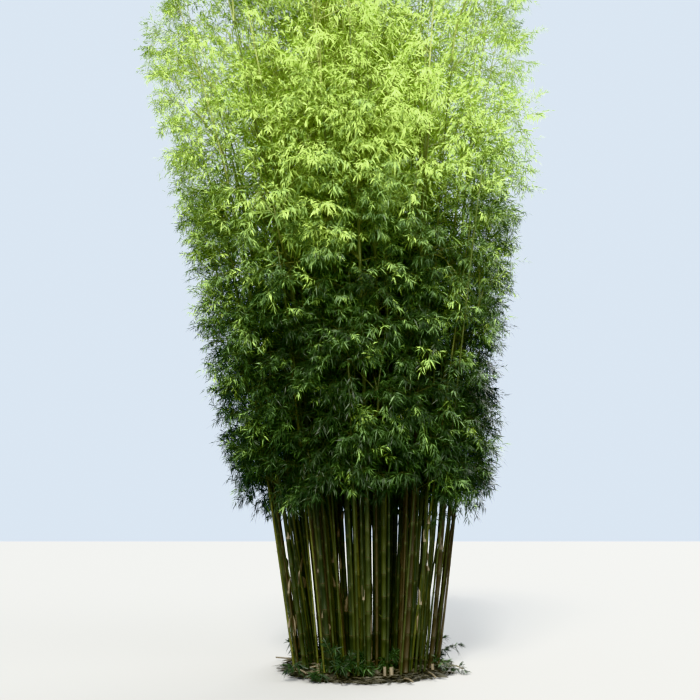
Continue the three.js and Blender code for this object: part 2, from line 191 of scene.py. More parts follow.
def plant_culms():
    """Where every culm stands, with its size and its own way off the even spread."""
    draw = seeded(SEED)

    def culm(x, y, radii, knot):
        return {
            "foot": (x + FOOT_JITTER * (draw() - 0.5), y + FOOT_JITTER * (draw() - 0.5)),
            "head": on_ring(HEAD_OFFSET, 2 * math.pi * draw()),
            "radius": between(radii, draw()),
            "length": between(CULM_LENGTH, draw()),
            "end": between(FREE_TIP, draw()),
            "knot": knot,
            "mass": None,
        }

    culms = []
    for k in range(SINGLE_CULMS):
        ring = INNER_RING if k % 2 else OUTER_RING
        culms.append(culm(*on_ring(ring, 2 * math.pi * k / SINGLE_CULMS), SINGLE_RADIUS, None))
    for n in range(KNOTS):
        x, y = on_ring(KNOT_RING if n else 0, 2 * math.pi * (n - 0.5) / (KNOTS - 1))
        for k in range(KNOT_CULMS):
            own_x, own_y = on_ring(KNOT_CULM_RING if k else 0, 2 * math.pi * k / (KNOT_CULMS - 1) + n)
            culms.append(culm(x + own_x, y + own_y, KNOT_RADIUS, n))
    return culms


def culm_heights(culm):
    steps = SINGLE_STEPS if culm["knot"] is None else KNOT_STEPS
    first = ROOT_HEIGHT + FLARE_HEIGHT
    rises = [first + (culm["end"] - first) * k / (steps - 1) for k in range(steps)]
    return [ROOT_HEIGHT + SEAT_GAP, *rises]


def culm_line(culm):
    return [culm_centre(culm, z) for z in culm_heights(culm)]


def crown_radius(z):
    """The crown's outline: its radius at a height, or at each of many."""
    top = np.clip((z - CROWN_WIDEST_HEIGHT) / (CLUMP_HEIGHT - CROWN_WIDEST_HEIGHT), 0, 1)
    low = np.clip((z - CROWN_BOTTOM) / (CROWN_WIDEST_HEIGHT - CROWN_BOTTOM), 0, 1) ** CROWN_WIDENING_POWER
    widening = CROWN_WIDEST_RADIUS - CROWN_BOTTOM_RADIUS
    return (CROWN_BOTTOM_RADIUS + widening * low) * np.sqrt(1 - top * top)


def crown_profile():
    """The outline from the crown's foot to its top: height, radius and the share of the surface below."""
    points, area = [], 0
    for i in range(PROFILE_STEPS + 1):
        z = CROWN_BOTTOM + (CLUMP_HEIGHT - CROWN_BOTTOM) * math.sin(math.pi / 2 * i / PROFILE_STEPS)
        r = crown_radius(z)
        if points:
            last_z, last_r, _ = points[-1]
            area += (last_r + r) * math.hypot(r - last_r, z - last_z)
        points.append((z, r, area))
    return [(z, r, below / area) for z, r, below in points]


PROFILE = crown_profile()


def crown_place(share, azimuth):
    """A place on the crown's surface, with the directions out of it, round it and up along it."""
    above = max(next(i for i, point in enumerate(PROFILE) if point[2] >= share), 1)
    low, high = PROFILE[above - 1], PROFILE[above]
    part = (share - low[2]) / (high[2] - low[2])
    z, r = (between((low[i], high[i]), part) for i in (0, 1))
    away = Vector((*on_ring(1, azimuth), 0))
    along = (away * (high[1] - low[1]) + UP * (high[0] - low[0])).normalized()
    around = Vector((-away.y, away.x, 0))
    point = away * r + Vector((lean_at(z), 0, z))
    return {"point": point, "out": around.cross(along).normalized(), "round": around, "along": along}


def crown_spiral(count):
    """Evenly spaced places on the crown's surface, in one spiral from its foot to its top."""
    return [crown_place((k + 0.5) / count, k * GOLDEN_ANGLE) for k in range(count)]


def inwards(place, depth):
    return place["point"] - place["out"] * depth


def bezier(start, middle, end, share):
    return start * (1 - share) ** 2 + middle * (2 * share * (1 - share)) + end * share**2


class Stretches:
    """The straight stretches of every culm and stem, which everything that grows keeps clear of."""

    def __init__(self):
        self.of = {}

    def put(self, owner, points, radius):
        self.of[owner] = (np.array(points[:-1]), np.array(points[1:]), radius)
        self.gathered = None

    def gather(self):
        if self.gathered is None:
            starts = np.concatenate([s for s, _, _ in self.of.values()])
            ends = np.concatenate([e for _, e, _ in self.of.values()])
            radii = np.concatenate([np.full(len(s), r) for s, _, r in self.of.values()])
            owners = np.concatenate([np.full(len(s), o) for o, (s, _, _) in self.of.items()])
            self.gathered = (starts, ends, radii, owners)
        return self.gathered

    def clear(self, start, end, half_width, owner):
        """Whether a slim thing from start to end stays clear of all stretches but its owner's."""
        starts, ends, radii, owners = self.gather()
        d1, d2 = np.array(end - start), ends - starts
        r = np.array(start) - starts
        a, e, f = d1 @ d1, (d2 * d2).sum(1), (d2 * r).sum(1)
        c, b = r @ d1, d2 @ d1
        lean = a * e - b * b
        s = np.clip(np.where(lean > PARALLEL, (b * f - c * e) / np.maximum(lean, PARALLEL), 0), 0, 1)
        t = (b * s + f) / e
        s = np.where(t < 0, np.clip(-c / a, 0, 1), np.where(t > 1, np.clip((b - c) / a, 0, 1), s))
        t = np.clip(t, 0, 1)
        gaps = np.linalg.norm(r + d1 * s[:, None] - d2 * t[:, None], axis=1)
        return bool(np.all((gaps >= half_width + radii + CLEARANCE) | (owners == owner)))


def in_own_share(points, own, seeds):
    """Whether points are nearer to their own seed than to any other, by a margin."""
    seed = seeds[own]
    for other_number, other in enumerate(seeds):
        if other_number == own:
            continue
        margin = 2 * (seed - other).length * CELL_MARGIN
        for point in points:
            if (point - other).length_squared - (point - seed).length_squared <= margin:
                return False
    return True


def stem_line(mass, host):
    """The three points of a mass's stem: up from its culm's end, or square to its culm's side."""
    end = mass["end"]
    if mass["plume"]:
        start = culm_centre(host, mass["stem_height"]) + UP * SEAT_GAP
        return start, start + UP * (end.z - start.z) * PLUME_STEM_UPRIGHT, end
    heights = culm_heights(host)
    upper = next(i for i, z in enumerate(heights) if z > mass["stem_height"])
    low, high = heights[upper - 1], heights[upper]
    toward = mass["seed"] - culm_centre(host, mass["stem_height"])
    level = Vector((toward.x, toward.y, 0)).normalized()
    below, above = (culm_centre(host, z) + level * culm_radius(host, z) for z in (low, high))
    edge = (above - below).normalized()
    out = (level - edge * level.dot(edge)).normalized()
    share = min(max((mass["stem_height"] - low) / (high - low), STEP_MARGIN), 1 - STEP_MARGIN)
    start = below.lerp(above, share) + out * SEAT_GAP
    return start, start + out * min(SIDE_STEM_REACH, (start - end).length / 2), end


def stem_points(mass, line):
    return [bezier(*line, step / STEM_STEPS) for step in range(STEM_STEPS + 1)]


def grow_masses(culms):
    """The foliage masses, each with its host culm and the line of its stem."""
    stretches = Stretches()
    for number, culm in enumerate(culms):
        stretches.put(number, culm_line(culm), culm["radius"])
    masses = []
    for number, place in enumerate(crown_spiral(MASSES)):
        seed = inwards(place, SEED_DEPTH)
        plume = seed.z > PLUME_FROM
        drop = PLUME_STEM_DROP if plume else SIDE_STEM_DROP
        mass = {
            "place": place,
            "seed": seed,
            "plume": plume,
            "stem_height": max(seed.z - drop, CROWN_BOTTOM),
            "end": inwards(place, STEM_END_DEPTH),
            "owner": len(culms) + number,
        }
        middle = Vector((seed.x, seed.y, mass["stem_height"]))
        able = [n for n, c in enumerate(culms) if c["mass"] is None and (plume or c["knot"] is None)]
        able.sort(key=lambda n: (culm_centre(culms[n], mass["stem_height"]) - middle).length)
        for n in able:
            line = stem_line(mass, culms[n])
            points = stem_points(mass, line)
            if all(stretches.clear(a, b, STEM_RADIUS[0], n) for a, b in zip(points, points[1:])):
                break
        host = culms[n]
        host["mass"] = number
        if plume:
            host["end"] = mass["stem_height"]
        stretches.put(n, culm_line(host), host["radius"])
        mass["line"] = stem_line(mass, host)
        stretches.put(mass["owner"], stem_points(mass, mass["line"]), STEM_RADIUS[0])
        masses.append(mass)
    return masses, stretches


def blade_fits(foot, tip, out, mass, own, seeds, stretches):
    wide = (tip - foot).cross(out).normalized() * LEAF_HALF_WIDTH
    middle = foot.lerp(tip, LEAF_WIDEST)
    left, right = middle + wide, middle - wide
    if not in_own_share((foot, tip, left, right), own, seeds):
        return False
    lines = ((foot, tip), (left, right), (foot, left), (foot, right), (left, tip), (right, tip))
    return all(stretches.clear(a, b, LEAF_THICKNESS, mass["owner"]) for a, b in lines)


def grow_twigs(masses, stretches):
    """The twigs of all the masses, and the foot, tip and outward side of each spray at their ends."""
    seeds = [mass["seed"] for mass in masses]
    draw = seeded(TWIG_SEED)
    places = crown_spiral(TWIGS)
    twigs, sprays = [], []
    for own, mass in enumerate(masses):
        for place in places:
            if not in_own_share([inwards(place, TWIG_DEPTH)], own, seeds):
                continue
            cleft = ((place["point"] - mass["place"]["point"]).length / CLEFT_REACH) ** 2
            front = inwards(place, CLEFT_DEPTH * cleft)
            end = front - place["out"] * TWIG_DEPTH
            apart = [(bezier(*mass["line"], share) - end).length for share in TWIG_SHARES]
            wanted = TWIG_SHARES[apart.index(min(apart))] - TWIG_SLANT_SHARE
            root = None
            for share in sorted(TWIG_SHARES, key=lambda share: abs(share - wanted)):
                at = bezier(*mass["line"], share)
                owner = mass["owner"]
                if in_own_share([at, end], own, seeds) and stretches.clear(at, end, TWIG_RADIUS, owner):
                    root = at
                    break
            first_angle = 2 * math.pi * draw()
            if root is None:
                continue
            twigs.append((root, end))
            along = (end - root).normalized()
            for k in range(LEAVES_PER_TWIG):
                foot = end - along * LEAF_SPACING * (k + FIRST_LEAF_STEP)
                depth = TIP_JITTER * draw()
                for turn in LEAF_TURNS:
                    angle = first_angle + 2 * math.pi * k / LEAVES_PER_TWIG + turn
                    tip = (
                        front
                        + place["round"] * LEAF_REACH * math.cos(angle)
                        + place["along"] * LEAF_REACH * math.sin(angle)
                        - place["out"] * depth
                        - UP * LEAF_DROOP
                    )
                    if blade_fits(foot, tip, place["out"], mass, own, seeds, stretches):
                        sprays.append((foot, tip))
                        break
    return twigs, sprays


# Finer growth, which the solids only stand for: where culms end, how their nodes are spaced and what grows there.
NODE_SPACING = (0.22, 0.16)  # at the foot, and how much more it is halfway up
NODE_STRETCH = (0.85, 1.15)
FIRST_NODE_SHARE = 0.6
NODELESS_TIP = 0.2
TIP_DEPTH = 0.3
TIP_STEP = 0.05
TIP_PAST_LENGTH = 0.35
THINNEST_TIP = 0.003
OUTER_FOOT = 0.5
BRANCH_LEVELS = (6.6, 8.3)
OUTER_BRANCHES = (5, 3, 4)  # at a node below both of those heights, between them, and above both
INNER_BRANCHES = (3, 3, 5)
OUTER_BRANCH_SPREAD = 1.45  # how far to either side of outwards, below both of those heights
LOWEST_BRANCH_ROOT = 1.85
BRANCH_LENGTH = (0.5, 1.35)
TIP_BRANCH_SHARE = 0.35
BRANCH_RISE = (0.35, 1.1)
INNER_BRANCH_RISE = (0.8, 1.3)
BRANCH_SAG = (0.3, 0.85)
BRANCH_RADIUS = 0.0042
BRANCH_FRONT_DEPTH = 0.12
LOWEST_BRANCH_TIP = 1.92
LOWEST_TIP_WAVES = ((0.2, 4, 0.8), (0.13, 9, 2.1))  # how high, how many round the clump, and where they start
LOWEST_TIP_CHANCE = 0.12
SHORTENINGS, SHORTENED = 10, 0.85  # how often a branch that reaches too far is shortened, and to what share
SHORTEST_BRANCH = 0.2
SPRAY_SAG = 0.25
SPRAY_SHARE = 0.8
# Branches that end less deep than this behind the crown's front end in tufts of short twigs with small leaves.
# The deeper ones have fewer twigs, with the large leaves of the shade.
TUFT_DEPTH = 0.55
TUFT_TWIGS = {"count": 11, "shares": (0.35, 0.75), "lengths": (0.12, 0.33)}
TUFT_LEAVES = {"count": 13, "shares": (0.15, 1), "lengths": (0.06, 0.112)}
SHADE_TWIGS = {"count": 5, "shares": (0.25, 1), "lengths": (0.2, 0.36)}
SHADE_LEAVES = {"count": 7, "shares": (0.3, 1), "lengths": (0.14, 0.21)}
TWIG_GROWTH = {"angles": (0.6, 1.15), "sags": (0.0, 0.0), "droop": 0.1, "roll": 1.2}
LEAF_GROWTH = {"angles": (0.45, 1.15), "sags": (0.0, 0.5), "droop": 0.11, "roll": 1.3}
SPREAD_CHANCE = 0.03  # how far a limb's root strays along its host
LAST_TURN = 0.3
SHORTER_AT_TIP = 0.3
LEAFY_TWIG_RADIUS = 0.0015
LEAF_SIZE_HEIGHTS = (2.0, 5.0, 8.0)
LEAF_SIZES = (1.3, 1.12, 0.88)
SHADE_LEAF_SIZES = (1.5, 1.3, 0.8)
LEAF_WIDTH_SHARE = 0.137
LEAF_LEAN = 1.0
LEAF_TWIST = 0.45
SHOWN_DEPTH = 0.12
CLEFT_HEIGHTS = (3.0, 5.0, 7.5, 9.0)
CLEFTS_LEFT_OPEN = (0.1, 0.35, 0.5, 1.2)
BULGE_HEIGHTS = (1.9, 3.0, 4.3, 5.4, 6.6, 9.5, 10.4)
BULGE = (0.08, 0.04, 0.0, 0.12, 0.13, 0.1, 0.0)
MASS_WAVE = 2.1  # turns a mass's number into its own share of the bulge and tone below
MASS_BULGE = 0.07
MASS_TONE = 0.6
LOWEST_TIP_DROP = 1.5
PLUME_LENGTH = 1.8
FURTHEST_OUT = 0.12
GROUND_ROOM = 0.004

THIN_CULMS = 150
THIN_CULM_GROUP = 15
THIN_CULM_GAP = 0.008
THIN_CULM_TAIL = 1.2
THIN_CULM_RING = (0.12, 0.88)
THIN_CULM_RADIUS = (0.009, 0.017)
THIN_CULM_END = (2.8, 6.4)
THIN_CULM_HEAD = 0.4
LEANING_CULMS = 60
LEANING_HEAD = 4.5
SPUR_SHARE = 0.4
SPUR_HEIGHTS = (0.5, 2.35)
SPUR_RISE = (0.5, 1.2)
SPUR_LENGTH = (0.03, 0.16)
SPUR_SAG = 0.1

rng = np.random.default_rng(SEED)


def drawn(limits, shape):
    return rng.uniform(limits[0], limits[1], shape)


def aimed(azimuths, rises):
    """Directions, by their azimuths and by how steeply they rise."""
    level = np.cos(rises)
    return np.stack([level * np.cos(azimuths), level * np.sin(azimuths), np.sin(rises)], axis=1)


def limbs_of(rows, sag):
    """Limbs from rows of a root's place, an azimuth, a rise and a length."""
    rows = np.array(rows)
    return {"root": rows[:, :3], "direction": aimed(rows[:, 3], rows[:, 4]), "length": rows[:, 5], "sag": sag}


def unit(vectors):
    return vectors / np.maximum(np.linalg.norm(vectors, axis=-1, keepdims=True), 1e-9)


def square_to(directions):
    """A level direction square to each direction, and the one square to both, which points up."""
    side = np.cross(directions, (0.0, 0.0, 1.0))
    side[np.linalg.norm(side, axis=-1) < 1e-3] = (1, 0, 0)
    side = unit(side)
    return side, np.cross(side, directions)


def turned(directions, angles, rolls):
    """Directions turned away from the given ones by angles, towards the side that each roll gives."""
    side, over = square_to(directions)
    across = side * np.cos(rolls)[..., None] + over * np.sin(rolls)[..., None]
    return directions * np.cos(angles)[..., None] + across * np.sin(angles)[..., None]


def points_along(limbs, shares):
    """Points and directions at the shares along sagging limbs."""
    reach = limbs["length"][:, None] * shares
    points = limbs["root"][:, None] + limbs["direction"][:, None] * reach[..., None]
    points[..., 2] -= limbs["sag"][:, None] * reach * shares
    heading = np.repeat(limbs["direction"][:, None], shares.shape[1], axis=1)
    heading[..., 2] -= 2 * limbs["sag"][:, None] * shares
    return points, unit(heading)


def tips_of(limbs):
    return points_along(limbs, np.ones((len(limbs["root"]), 1)))[0][:, 0]


def sprout(limbs, count, shares, lengths, angles, sags, droop, roll):
    """Limbs that grow from other limbs, on alternate sides, the last one going on from the tip.

    The first of the shares says where the first limb grows, and a second one below 1 crowds them at the tip."""
    n = len(limbs["root"])
    first, power = shares
    even = first + (1 - first) * np.linspace(0, 1, count) ** power
    shares = np.clip(even[None] + drawn((-SPREAD_CHANCE, SPREAD_CHANCE), (n, count)), 0, 1)
    points, heading = points_along(limbs, shares)
    turn = drawn(angles, (n, count))
    turn[:, -1] *= LAST_TURN
    side = np.arange(count) % 2 * math.pi
    rolls = side[None] + drawn((-roll, roll), (n, count))
    directions = turned(heading, turn, rolls)
    directions[..., 2] -= droop
    shorter = 1 - SHORTER_AT_TIP * shares
    return {
        "root": points.reshape(-1, 3),
        "direction": unit(directions).reshape(-1, 3),
        "length": (drawn(lengths, (n, count)) * shorter).reshape(-1),
        "sag": drawn(sags, n * count),
        "tone": np.repeat(limbs["tone"], count),
        "depth": np.repeat(limbs["depth"], count),
    }


def crown_front(points, masses):
    """How far points lie from the crown's axis, where the front is, how near a cleft they are and by which mass."""
    z = points[:, 2]
    radii, lean = crown_radius(z), lean_at(z)
    away = points[:, :2] - np.stack([lean, np.zeros(len(z))], axis=1)
    distance = np.linalg.norm(away, axis=1)
    surface = np.column_stack([unit(away) * radii[:, None], z])
    surface[:, 0] += lean
    middles = np.array([mass["place"]["point"] for mass in masses])
    apart = np.linalg.norm(surface[:, None] - middles[None], axis=2)
    own = apart.argmin(axis=1)
    left_open = np.interp(z, CLEFT_HEIGHTS, CLEFTS_LEFT_OPEN)
    bulge = np.interp(z, BULGE_HEIGHTS, BULGE) + MASS_BULGE * np.sin(MASS_WAVE * own)
    cleft = (apart.min(axis=1) / CLEFT_REACH) ** 2
    return distance, radii + bulge - left_open * CLEFT_DEPTH * cleft, cleft, own


def keep_inside(limbs, masses):
    """Shortens limbs until their tips lie behind the crown's front, and drops those that can't."""
    around = np.arctan2(limbs["root"][:, 1], limbs["root"][:, 0])
    lowest = LOWEST_BRANCH_TIP + rng.normal(0, LOWEST_TIP_CHANCE, len(around))
    for height, count, start in LOWEST_TIP_WAVES:
        lowest += height * np.sin(count * around + start)
    for _ in range(SHORTENINGS):
        tips = tips_of(limbs)
        distance, front, _, _ = crown_front(tips, masses)
        outside = (distance > front - BRANCH_FRONT_DEPTH) | (tips[:, 2] < lowest)
        limbs["length"] = np.where(outside, limbs["length"] * SHORTENED, limbs["length"])
    return chosen(limbs, ~outside & (limbs["length"] > SHORTEST_BRANCH))


def tip_height(culm):
    """How high a culm reaches into the crown, at the height where its own line meets the crown's inside."""
    z = culm["end"]
    while z < CLUMP_HEIGHT:
        centre = culm_centre(culm, z)
        if math.hypot(centre.x - lean_at(z), centre.y) > crown_radius(z + TIP_DEPTH) - TIP_DEPTH:
            break
        z += TIP_STEP
    return min(z, culm["length"] + TIP_PAST_LENGTH)


def node_heights(culm, draw):
    """The heights of a culm's nodes, closer together at its foot and its tip."""
    heights = [ROOT_HEIGHT + SEAT_GAP]
    stretch = between(NODE_STRETCH, draw())
    while heights[-1] < culm["tip"] - NODELESS_TIP:
        share = heights[-1] / culm["length"]
        spacing = NODE_SPACING[0] + NODE_SPACING[1] * math.sin(math.pi * min(share, 1))
        heights.append(heights[-1] + spacing * stretch * (FIRST_NODE_SHARE if len(heights) == 1 else 1))
    return heights


def grow_branches(culms, masses):
    """Branches at the nodes of all the culms above the bare part of the clump."""
    rows = []
    for culm in culms:
        outer = math.hypot(*culm["foot"]) > OUTER_FOOT
        for z in culm["nodes"]:
            if z < LOWEST_BRANCH_ROOT:
                continue
            level = sum(z > height for height in BRANCH_LEVELS)
            spread = OUTER_BRANCH_SPREAD if outer and level == 0 else math.pi
            rises = BRANCH_RISE if outer or level > 0 else INNER_BRANCH_RISE
            centre = culm_centre(culm, z)
            outward = math.atan2(centre.y, centre.x - lean_at(z))
            near_tip = min((culm["tip"] - z) / PLUME_LENGTH, 1)
            for _ in range((OUTER_BRANCHES if outer else INNER_BRANCHES)[level]):
                azimuth = outward + rng.uniform(-spread, spread)
                rise = rng.uniform(*rises)
                length = rng.uniform(*BRANCH_LENGTH) * between((TIP_BRANCH_SHARE, 1), near_tip)
                rows.append((*centre, azimuth, rise, length))
    return keep_inside(limbs_of(rows, drawn(BRANCH_SAG, len(rows))), masses)


def spray_branches(sprays):
    """A branch for each spray of the solids, from the spray's foot to its tip."""
    feet = np.array([foot for foot, _ in sprays])
    reach = np.array([tip - foot for foot, tip in sprays])
    sag = np.full(len(feet), SPRAY_SAG)
    length = np.linalg.norm(reach, axis=1) * SPRAY_SHARE
    direction = unit(reach)
    direction[:, 2] += sag
    return {"root": feet, "direction": direction, "length": length, "sag": sag}


# The greens of the leaves, from the dark ones low and deep in the crown to the bright ones at its top.
# Dealt by height and depth, they paint the crown's light at its top and its shade low down and inside.
GREENS = [
    (0.009, 0.016, 0.007),
    (0.017, 0.030, 0.012),
    (0.037, 0.064, 0.025),
    (0.075, 0.124, 0.043),
    (0.136, 0.213, 0.062),
    (0.222, 0.325, 0.086),
    (0.318, 0.440, 0.106),
    (0.385, 0.520, 0.128),
    (0.440, 0.580, 0.158),
]
# At each height the middle one of the greens: dark low down as painted shade, bright higher up as painted light,
# and darker again at the very top as painted shade against the lamps' light from above. Also how many greens darker
# the leaves are deep in the crown, as painted shade; high up, where light comes through the leaves, the deep ones
# are lighter instead, as painted light.
TONE_HEIGHTS = (1.9, 3.3, 4.3, 5.3, 6.3, 7.5, 9.0, 9.7, 10.8)
TONES = (0.9, 1.2, 2.7, 4.8, 6.5, 6.9, 5.3, 4.4, 4.0)
DEPTH_SHADE_AND_LIGHT = (1.7, 1.7, 2.2, 1.8, 0.4, -1.0, -0.7, 0.0, 0.4)
# How many greens darker the clefts between masses are than their middles, lower down and higher up: painted shade
# in the clefts.
CLEFT_SHADE_HEIGHTS, CLEFT_SHADES = (5.0, 7.5), (1.6, 0.7)
CLEFT_MIDDLE = 0.35
TONE_CHANCE = 0.5
TWIG_TONE_CHANCE = 0.5
LEAF_TONE_CHANCE = 0.6
# Some branches and twigs near the crown's front stand in the sun: their shares, and how much lighter they are.
SUNLIT_BRANCHES = 0.16
SUNLIT_TWIGS = 0.1
SUNLIT_GAIN = (1.2, 3.0)
SUNLIT_DEPTH = 0.5
SUNLIT_ROOM = 5  # how many greens below the brightest one a limb can still be lit in full
DEEPEST = 1.2


def deal_tones(limbs, masses):
    """A green for each branch, by its height, its depth in the crown, its mass, the cleft beside it and chance.
    Height, depth and cleft paint the crown's light and shade into the green.
    """
    tips = tips_of(limbs)
    distance, front, cleft, own = crown_front(tips, masses)
    depth = np.clip((front - distance) / DEEPEST, 0, 1)
    chance = rng.normal(0, TONE_CHANCE, len(distance))
    rises = tips[:, 2]
    # Painted shade deep in the crown, turning to painted light deep in it high up, and painted shade in the clefts.
    depth_shade_and_light = np.interp(rises, TONE_HEIGHTS, DEPTH_SHADE_AND_LIGHT) * depth
    shade = np.interp(rises, CLEFT_SHADE_HEIGHTS, CLEFT_SHADES) * (CLEFT_MIDDLE - np.minimum(cleft, 1))
    shade += MASS_TONE * np.sin(MASS_WAVE * own)
    limbs["tone"] = np.interp(rises, TONE_HEIGHTS, TONES) + shade - depth_shade_and_light + chance
    limbs["depth"] = front - distance
    return sunlit(limbs, SUNLIT_BRANCHES)


def sunlit(limbs, share, chance=0.0):
    """The limbs with their tones varied by chance, and a share of the front ones lit."""
    count = len(limbs["tone"])
    lit = (rng.random(count) < share) & (limbs["depth"] < SUNLIT_DEPTH)
    tone = limbs["tone"] + rng.normal(0, 1, count) * chance
    room = np.clip((len(GREENS) - 1 - tone) / SUNLIT_ROOM, 0, 1)
    limbs["tone"] = tone + rng.uniform(*SUNLIT_GAIN, count) * lit * room
    return limbs


def in_reach(limbs):
    """Only the limbs whose tips stay within the solids' box, give or take the width of a spray."""
    tips = tips_of(limbs)
    low, high = (np.array(corner) for corner in CAD_BOX)
    return chosen(limbs, np.all((tips > low - FURTHEST_OUT) & (tips < high + FURTHEST_OUT), axis=1))


def joined(*several):
    return {name: np.concatenate([limbs[name] for limbs in several]) for name in several[0]}


def chosen(limbs, which):
    return {name: values[which] for name, values in limbs.items()}


# A leaf's outline: shares of its length, how far to the side each point lies as a share of its width, and faces.
SHOWN_LEAF = (
    np.array([0, 0.28, 0.28, 0.66, 0.66, 1.0]),
    np.array([0, -0.5, 0.5, -0.38, 0.38, 0]),
    ((0, 2, 1), (1, 2, 4, 3), (3, 4, 5)),
)
DEEP_LEAF = (np.array([0, 0.4, 0.4, 1.0]), np.array([0, -0.5, 0.5, 0]), ((0, 2, 1), (1, 2, 3)))


def repeated(faces, each, count):
    """Corners and sizes of the same faces, repeated for each thing of that many vertices."""
    corners = np.array([i for face in faces for i in face])
    sizes = np.array([len(face) for face in faces])
    starts = (np.arange(count) * each)[:, None]
    return (starts + corners[None]).reshape(-1), np.tile(sizes, count)


def leaf_mesh(leaves, outline, width_share=LEAF_WIDTH_SHARE, lean=0.0):
    """Vertices and faces of sagging blades of one outline, which face upwards and, with a lean, outwards too."""
    shares, sideways, faces = outline
    n = len(leaves["root"])
    normals = np.array([0, 0, 1.0]) + rng.normal(0, LEAF_TWIST, (n, 3))
    normals[:, :2] += lean * unit(leaves["root"][:, :2])
    side = unit(np.cross(leaves["direction"], normals))
    reach = leaves["length"][:, None] * shares[None]
    points = leaves["root"][:, None] + leaves["direction"][:, None] * reach[..., None]
    points[..., 2] -= leaves["sag"][:, None] * reach * shares[None]
    points += side[:, None] * (leaves["length"][:, None] * sideways[None] * width_share)[..., None]
    return points.reshape(-1, 3), *repeated(faces, len(shares), n)


def grid_faces(rows, columns, closed=False):
    """Faces between rows of points, closed round where that is asked for."""
    faces = []
    for r in range(rows - 1):
        for c in range(columns if closed else columns - 1):
            a, b = r * columns + c, r * columns + (c + 1) % columns
            faces.append((a, b, b + columns, a + columns))
    return faces


def tube_mesh(points, radii, sides):
    """Vertices and faces of tapering tubes along rows of points, each ending in a point."""
    n, rings = points.shape[0], points.shape[1] - 1
    heading = unit(points[:, 1:] - points[:, :-1])
    side, over = square_to(heading)
    turns = 2 * math.pi * np.arange(sides) / sides
    ring = side[:, :, None] * np.cos(turns)[:, None] + over[:, :, None] * np.sin(turns)[:, None]
    body = points[:, :-1, None] + ring * radii[:, :-1, None, None]
    vertices = np.concatenate([body.reshape(n, -1, 3), points[:, -1:]], axis=1)
    last = (rings - 1) * sides
    point = [(last + s, last + (s + 1) % sides, rings * sides) for s in range(sides)]
    faces = grid_faces(rings, sides, closed=True) + point
    return vertices.reshape(-1, 3), *repeated(faces, rings * sides + 1, n)


def mesh_piece(name, parts, material):
    """One object from vertex and face arrays that are joined."""
    before = np.cumsum([0] + [len(vertices) for vertices, _, _ in parts])
    corners = np.concatenate([corners + offset for (_, corners, _), offset in zip(parts, before)])
    vertices, sizes = (np.concatenate([part[i] for part in parts]) for i in (0, 2))
    sunk = vertices[:, 2] < GROUND_ROOM
    vertices[sunk, 2] = GROUND_ROOM * (1 + rng.random(sunk.sum()))
    mesh = bpy.data.meshes.new(name)
    mesh.vertices.add(len(vertices))
    mesh.vertices.foreach_set("co", vertices.astype(np.float32).ravel())
    mesh.loops.add(len(corners))
    mesh.loops.foreach_set("vertex_index", corners.astype(np.int32))
    mesh.polygons.add(len(sizes))
    starts = np.concatenate([[0], np.cumsum(sizes)[:-1]])
    mesh.polygons.foreach_set("loop_start", starts.astype(np.int32))
    mesh.update(calc_edges=True)
    mesh.materials.append(material)
    piece = bpy.data.objects.new(name, mesh)
    bpy.context.scene.collection.objects.link(piece)
    return piece


class Finish:
    """A procedural material that is built node by node."""

    def __init__(self, name, roughness, specular=0.5):
        self.material = bpy.data.materials.new(name)
        self.material.use_nodes = True
        self.tree = self.material.node_tree
        self.shader = self.tree.nodes["Principled BSDF"]
        self.shader.inputs["Roughness"].default_value = roughness
        self.shader.inputs["Specular IOR Level"].default_value = specular

    def node(self, kind, inputs=None, **settings):
        made = self.tree.nodes.new(kind)
        for name, value in settings.items():
            setattr(made, name, value)
        for socket, value in (inputs or {}).items():
            if isinstance(value, bpy.types.NodeSocket):
                self.tree.links.new(value, made.inputs[socket])
            else:
                made.inputs[socket].default_value = value
        return made

    def place(self):
        return self.node("ShaderNodeTexCoord").outputs["Object"]

    def noise(self, scale, detail=4.0):
        """Noise in the surface's own coordinates, with a scale for each axis."""
        place = self.node("ShaderNodeMapping", {"Vector": self.place(), "Scale": scale}).outputs["Vector"]
        settings = {"Vector": place, "Scale": 1.0, "Detail": detail}
        return self.node("ShaderNodeTexNoise", settings).outputs["Fac"]

    def ramp(self, factor, stops):
        """Colours or greys between stops, as pairs of a place and a colour."""
        made = self.node("ShaderNodeValToRGB", {"Fac": factor})
        elements = made.color_ramp.elements
        while len(elements) < len(stops):
            elements.new(0.5)
        for element, (at, color) in zip(elements, stops):
            element.position = at
            element.color = (*color, 1) if isinstance(color, tuple) else (color, color, color, 1)
        return made.outputs["Color"]

    def mix(self, factor, first, second, blend="MIX"):
        first, second = ((*color, 1) if isinstance(color, tuple) else color for color in (first, second))
        inputs = {0: factor, 6: first, 7: second}
        return self.node("ShaderNodeMix", inputs, data_type="RGBA", blend_type=blend).outputs[2]

    def finish(self, color, height, bump, distance, roughness=None):
        self.tree.links.new(color, self.shader.inputs["Base Color"])
        if roughness is not None:
            self.tree.links.new(roughness, self.shader.inputs["Roughness"])
        made = self.node("ShaderNodeBump", {"Height": height, "Strength": bump, "Distance": distance})
        self.tree.links.new(made.outputs["Normal"], self.shader.inputs["Normal"])
        return self.material


def plain_material(name, color, roughness, specular=0.5):
    finish = Finish(name, roughness, specular)
    finish.shader.inputs["Base Color"].default_value = (*color, 1)
    return finish.material


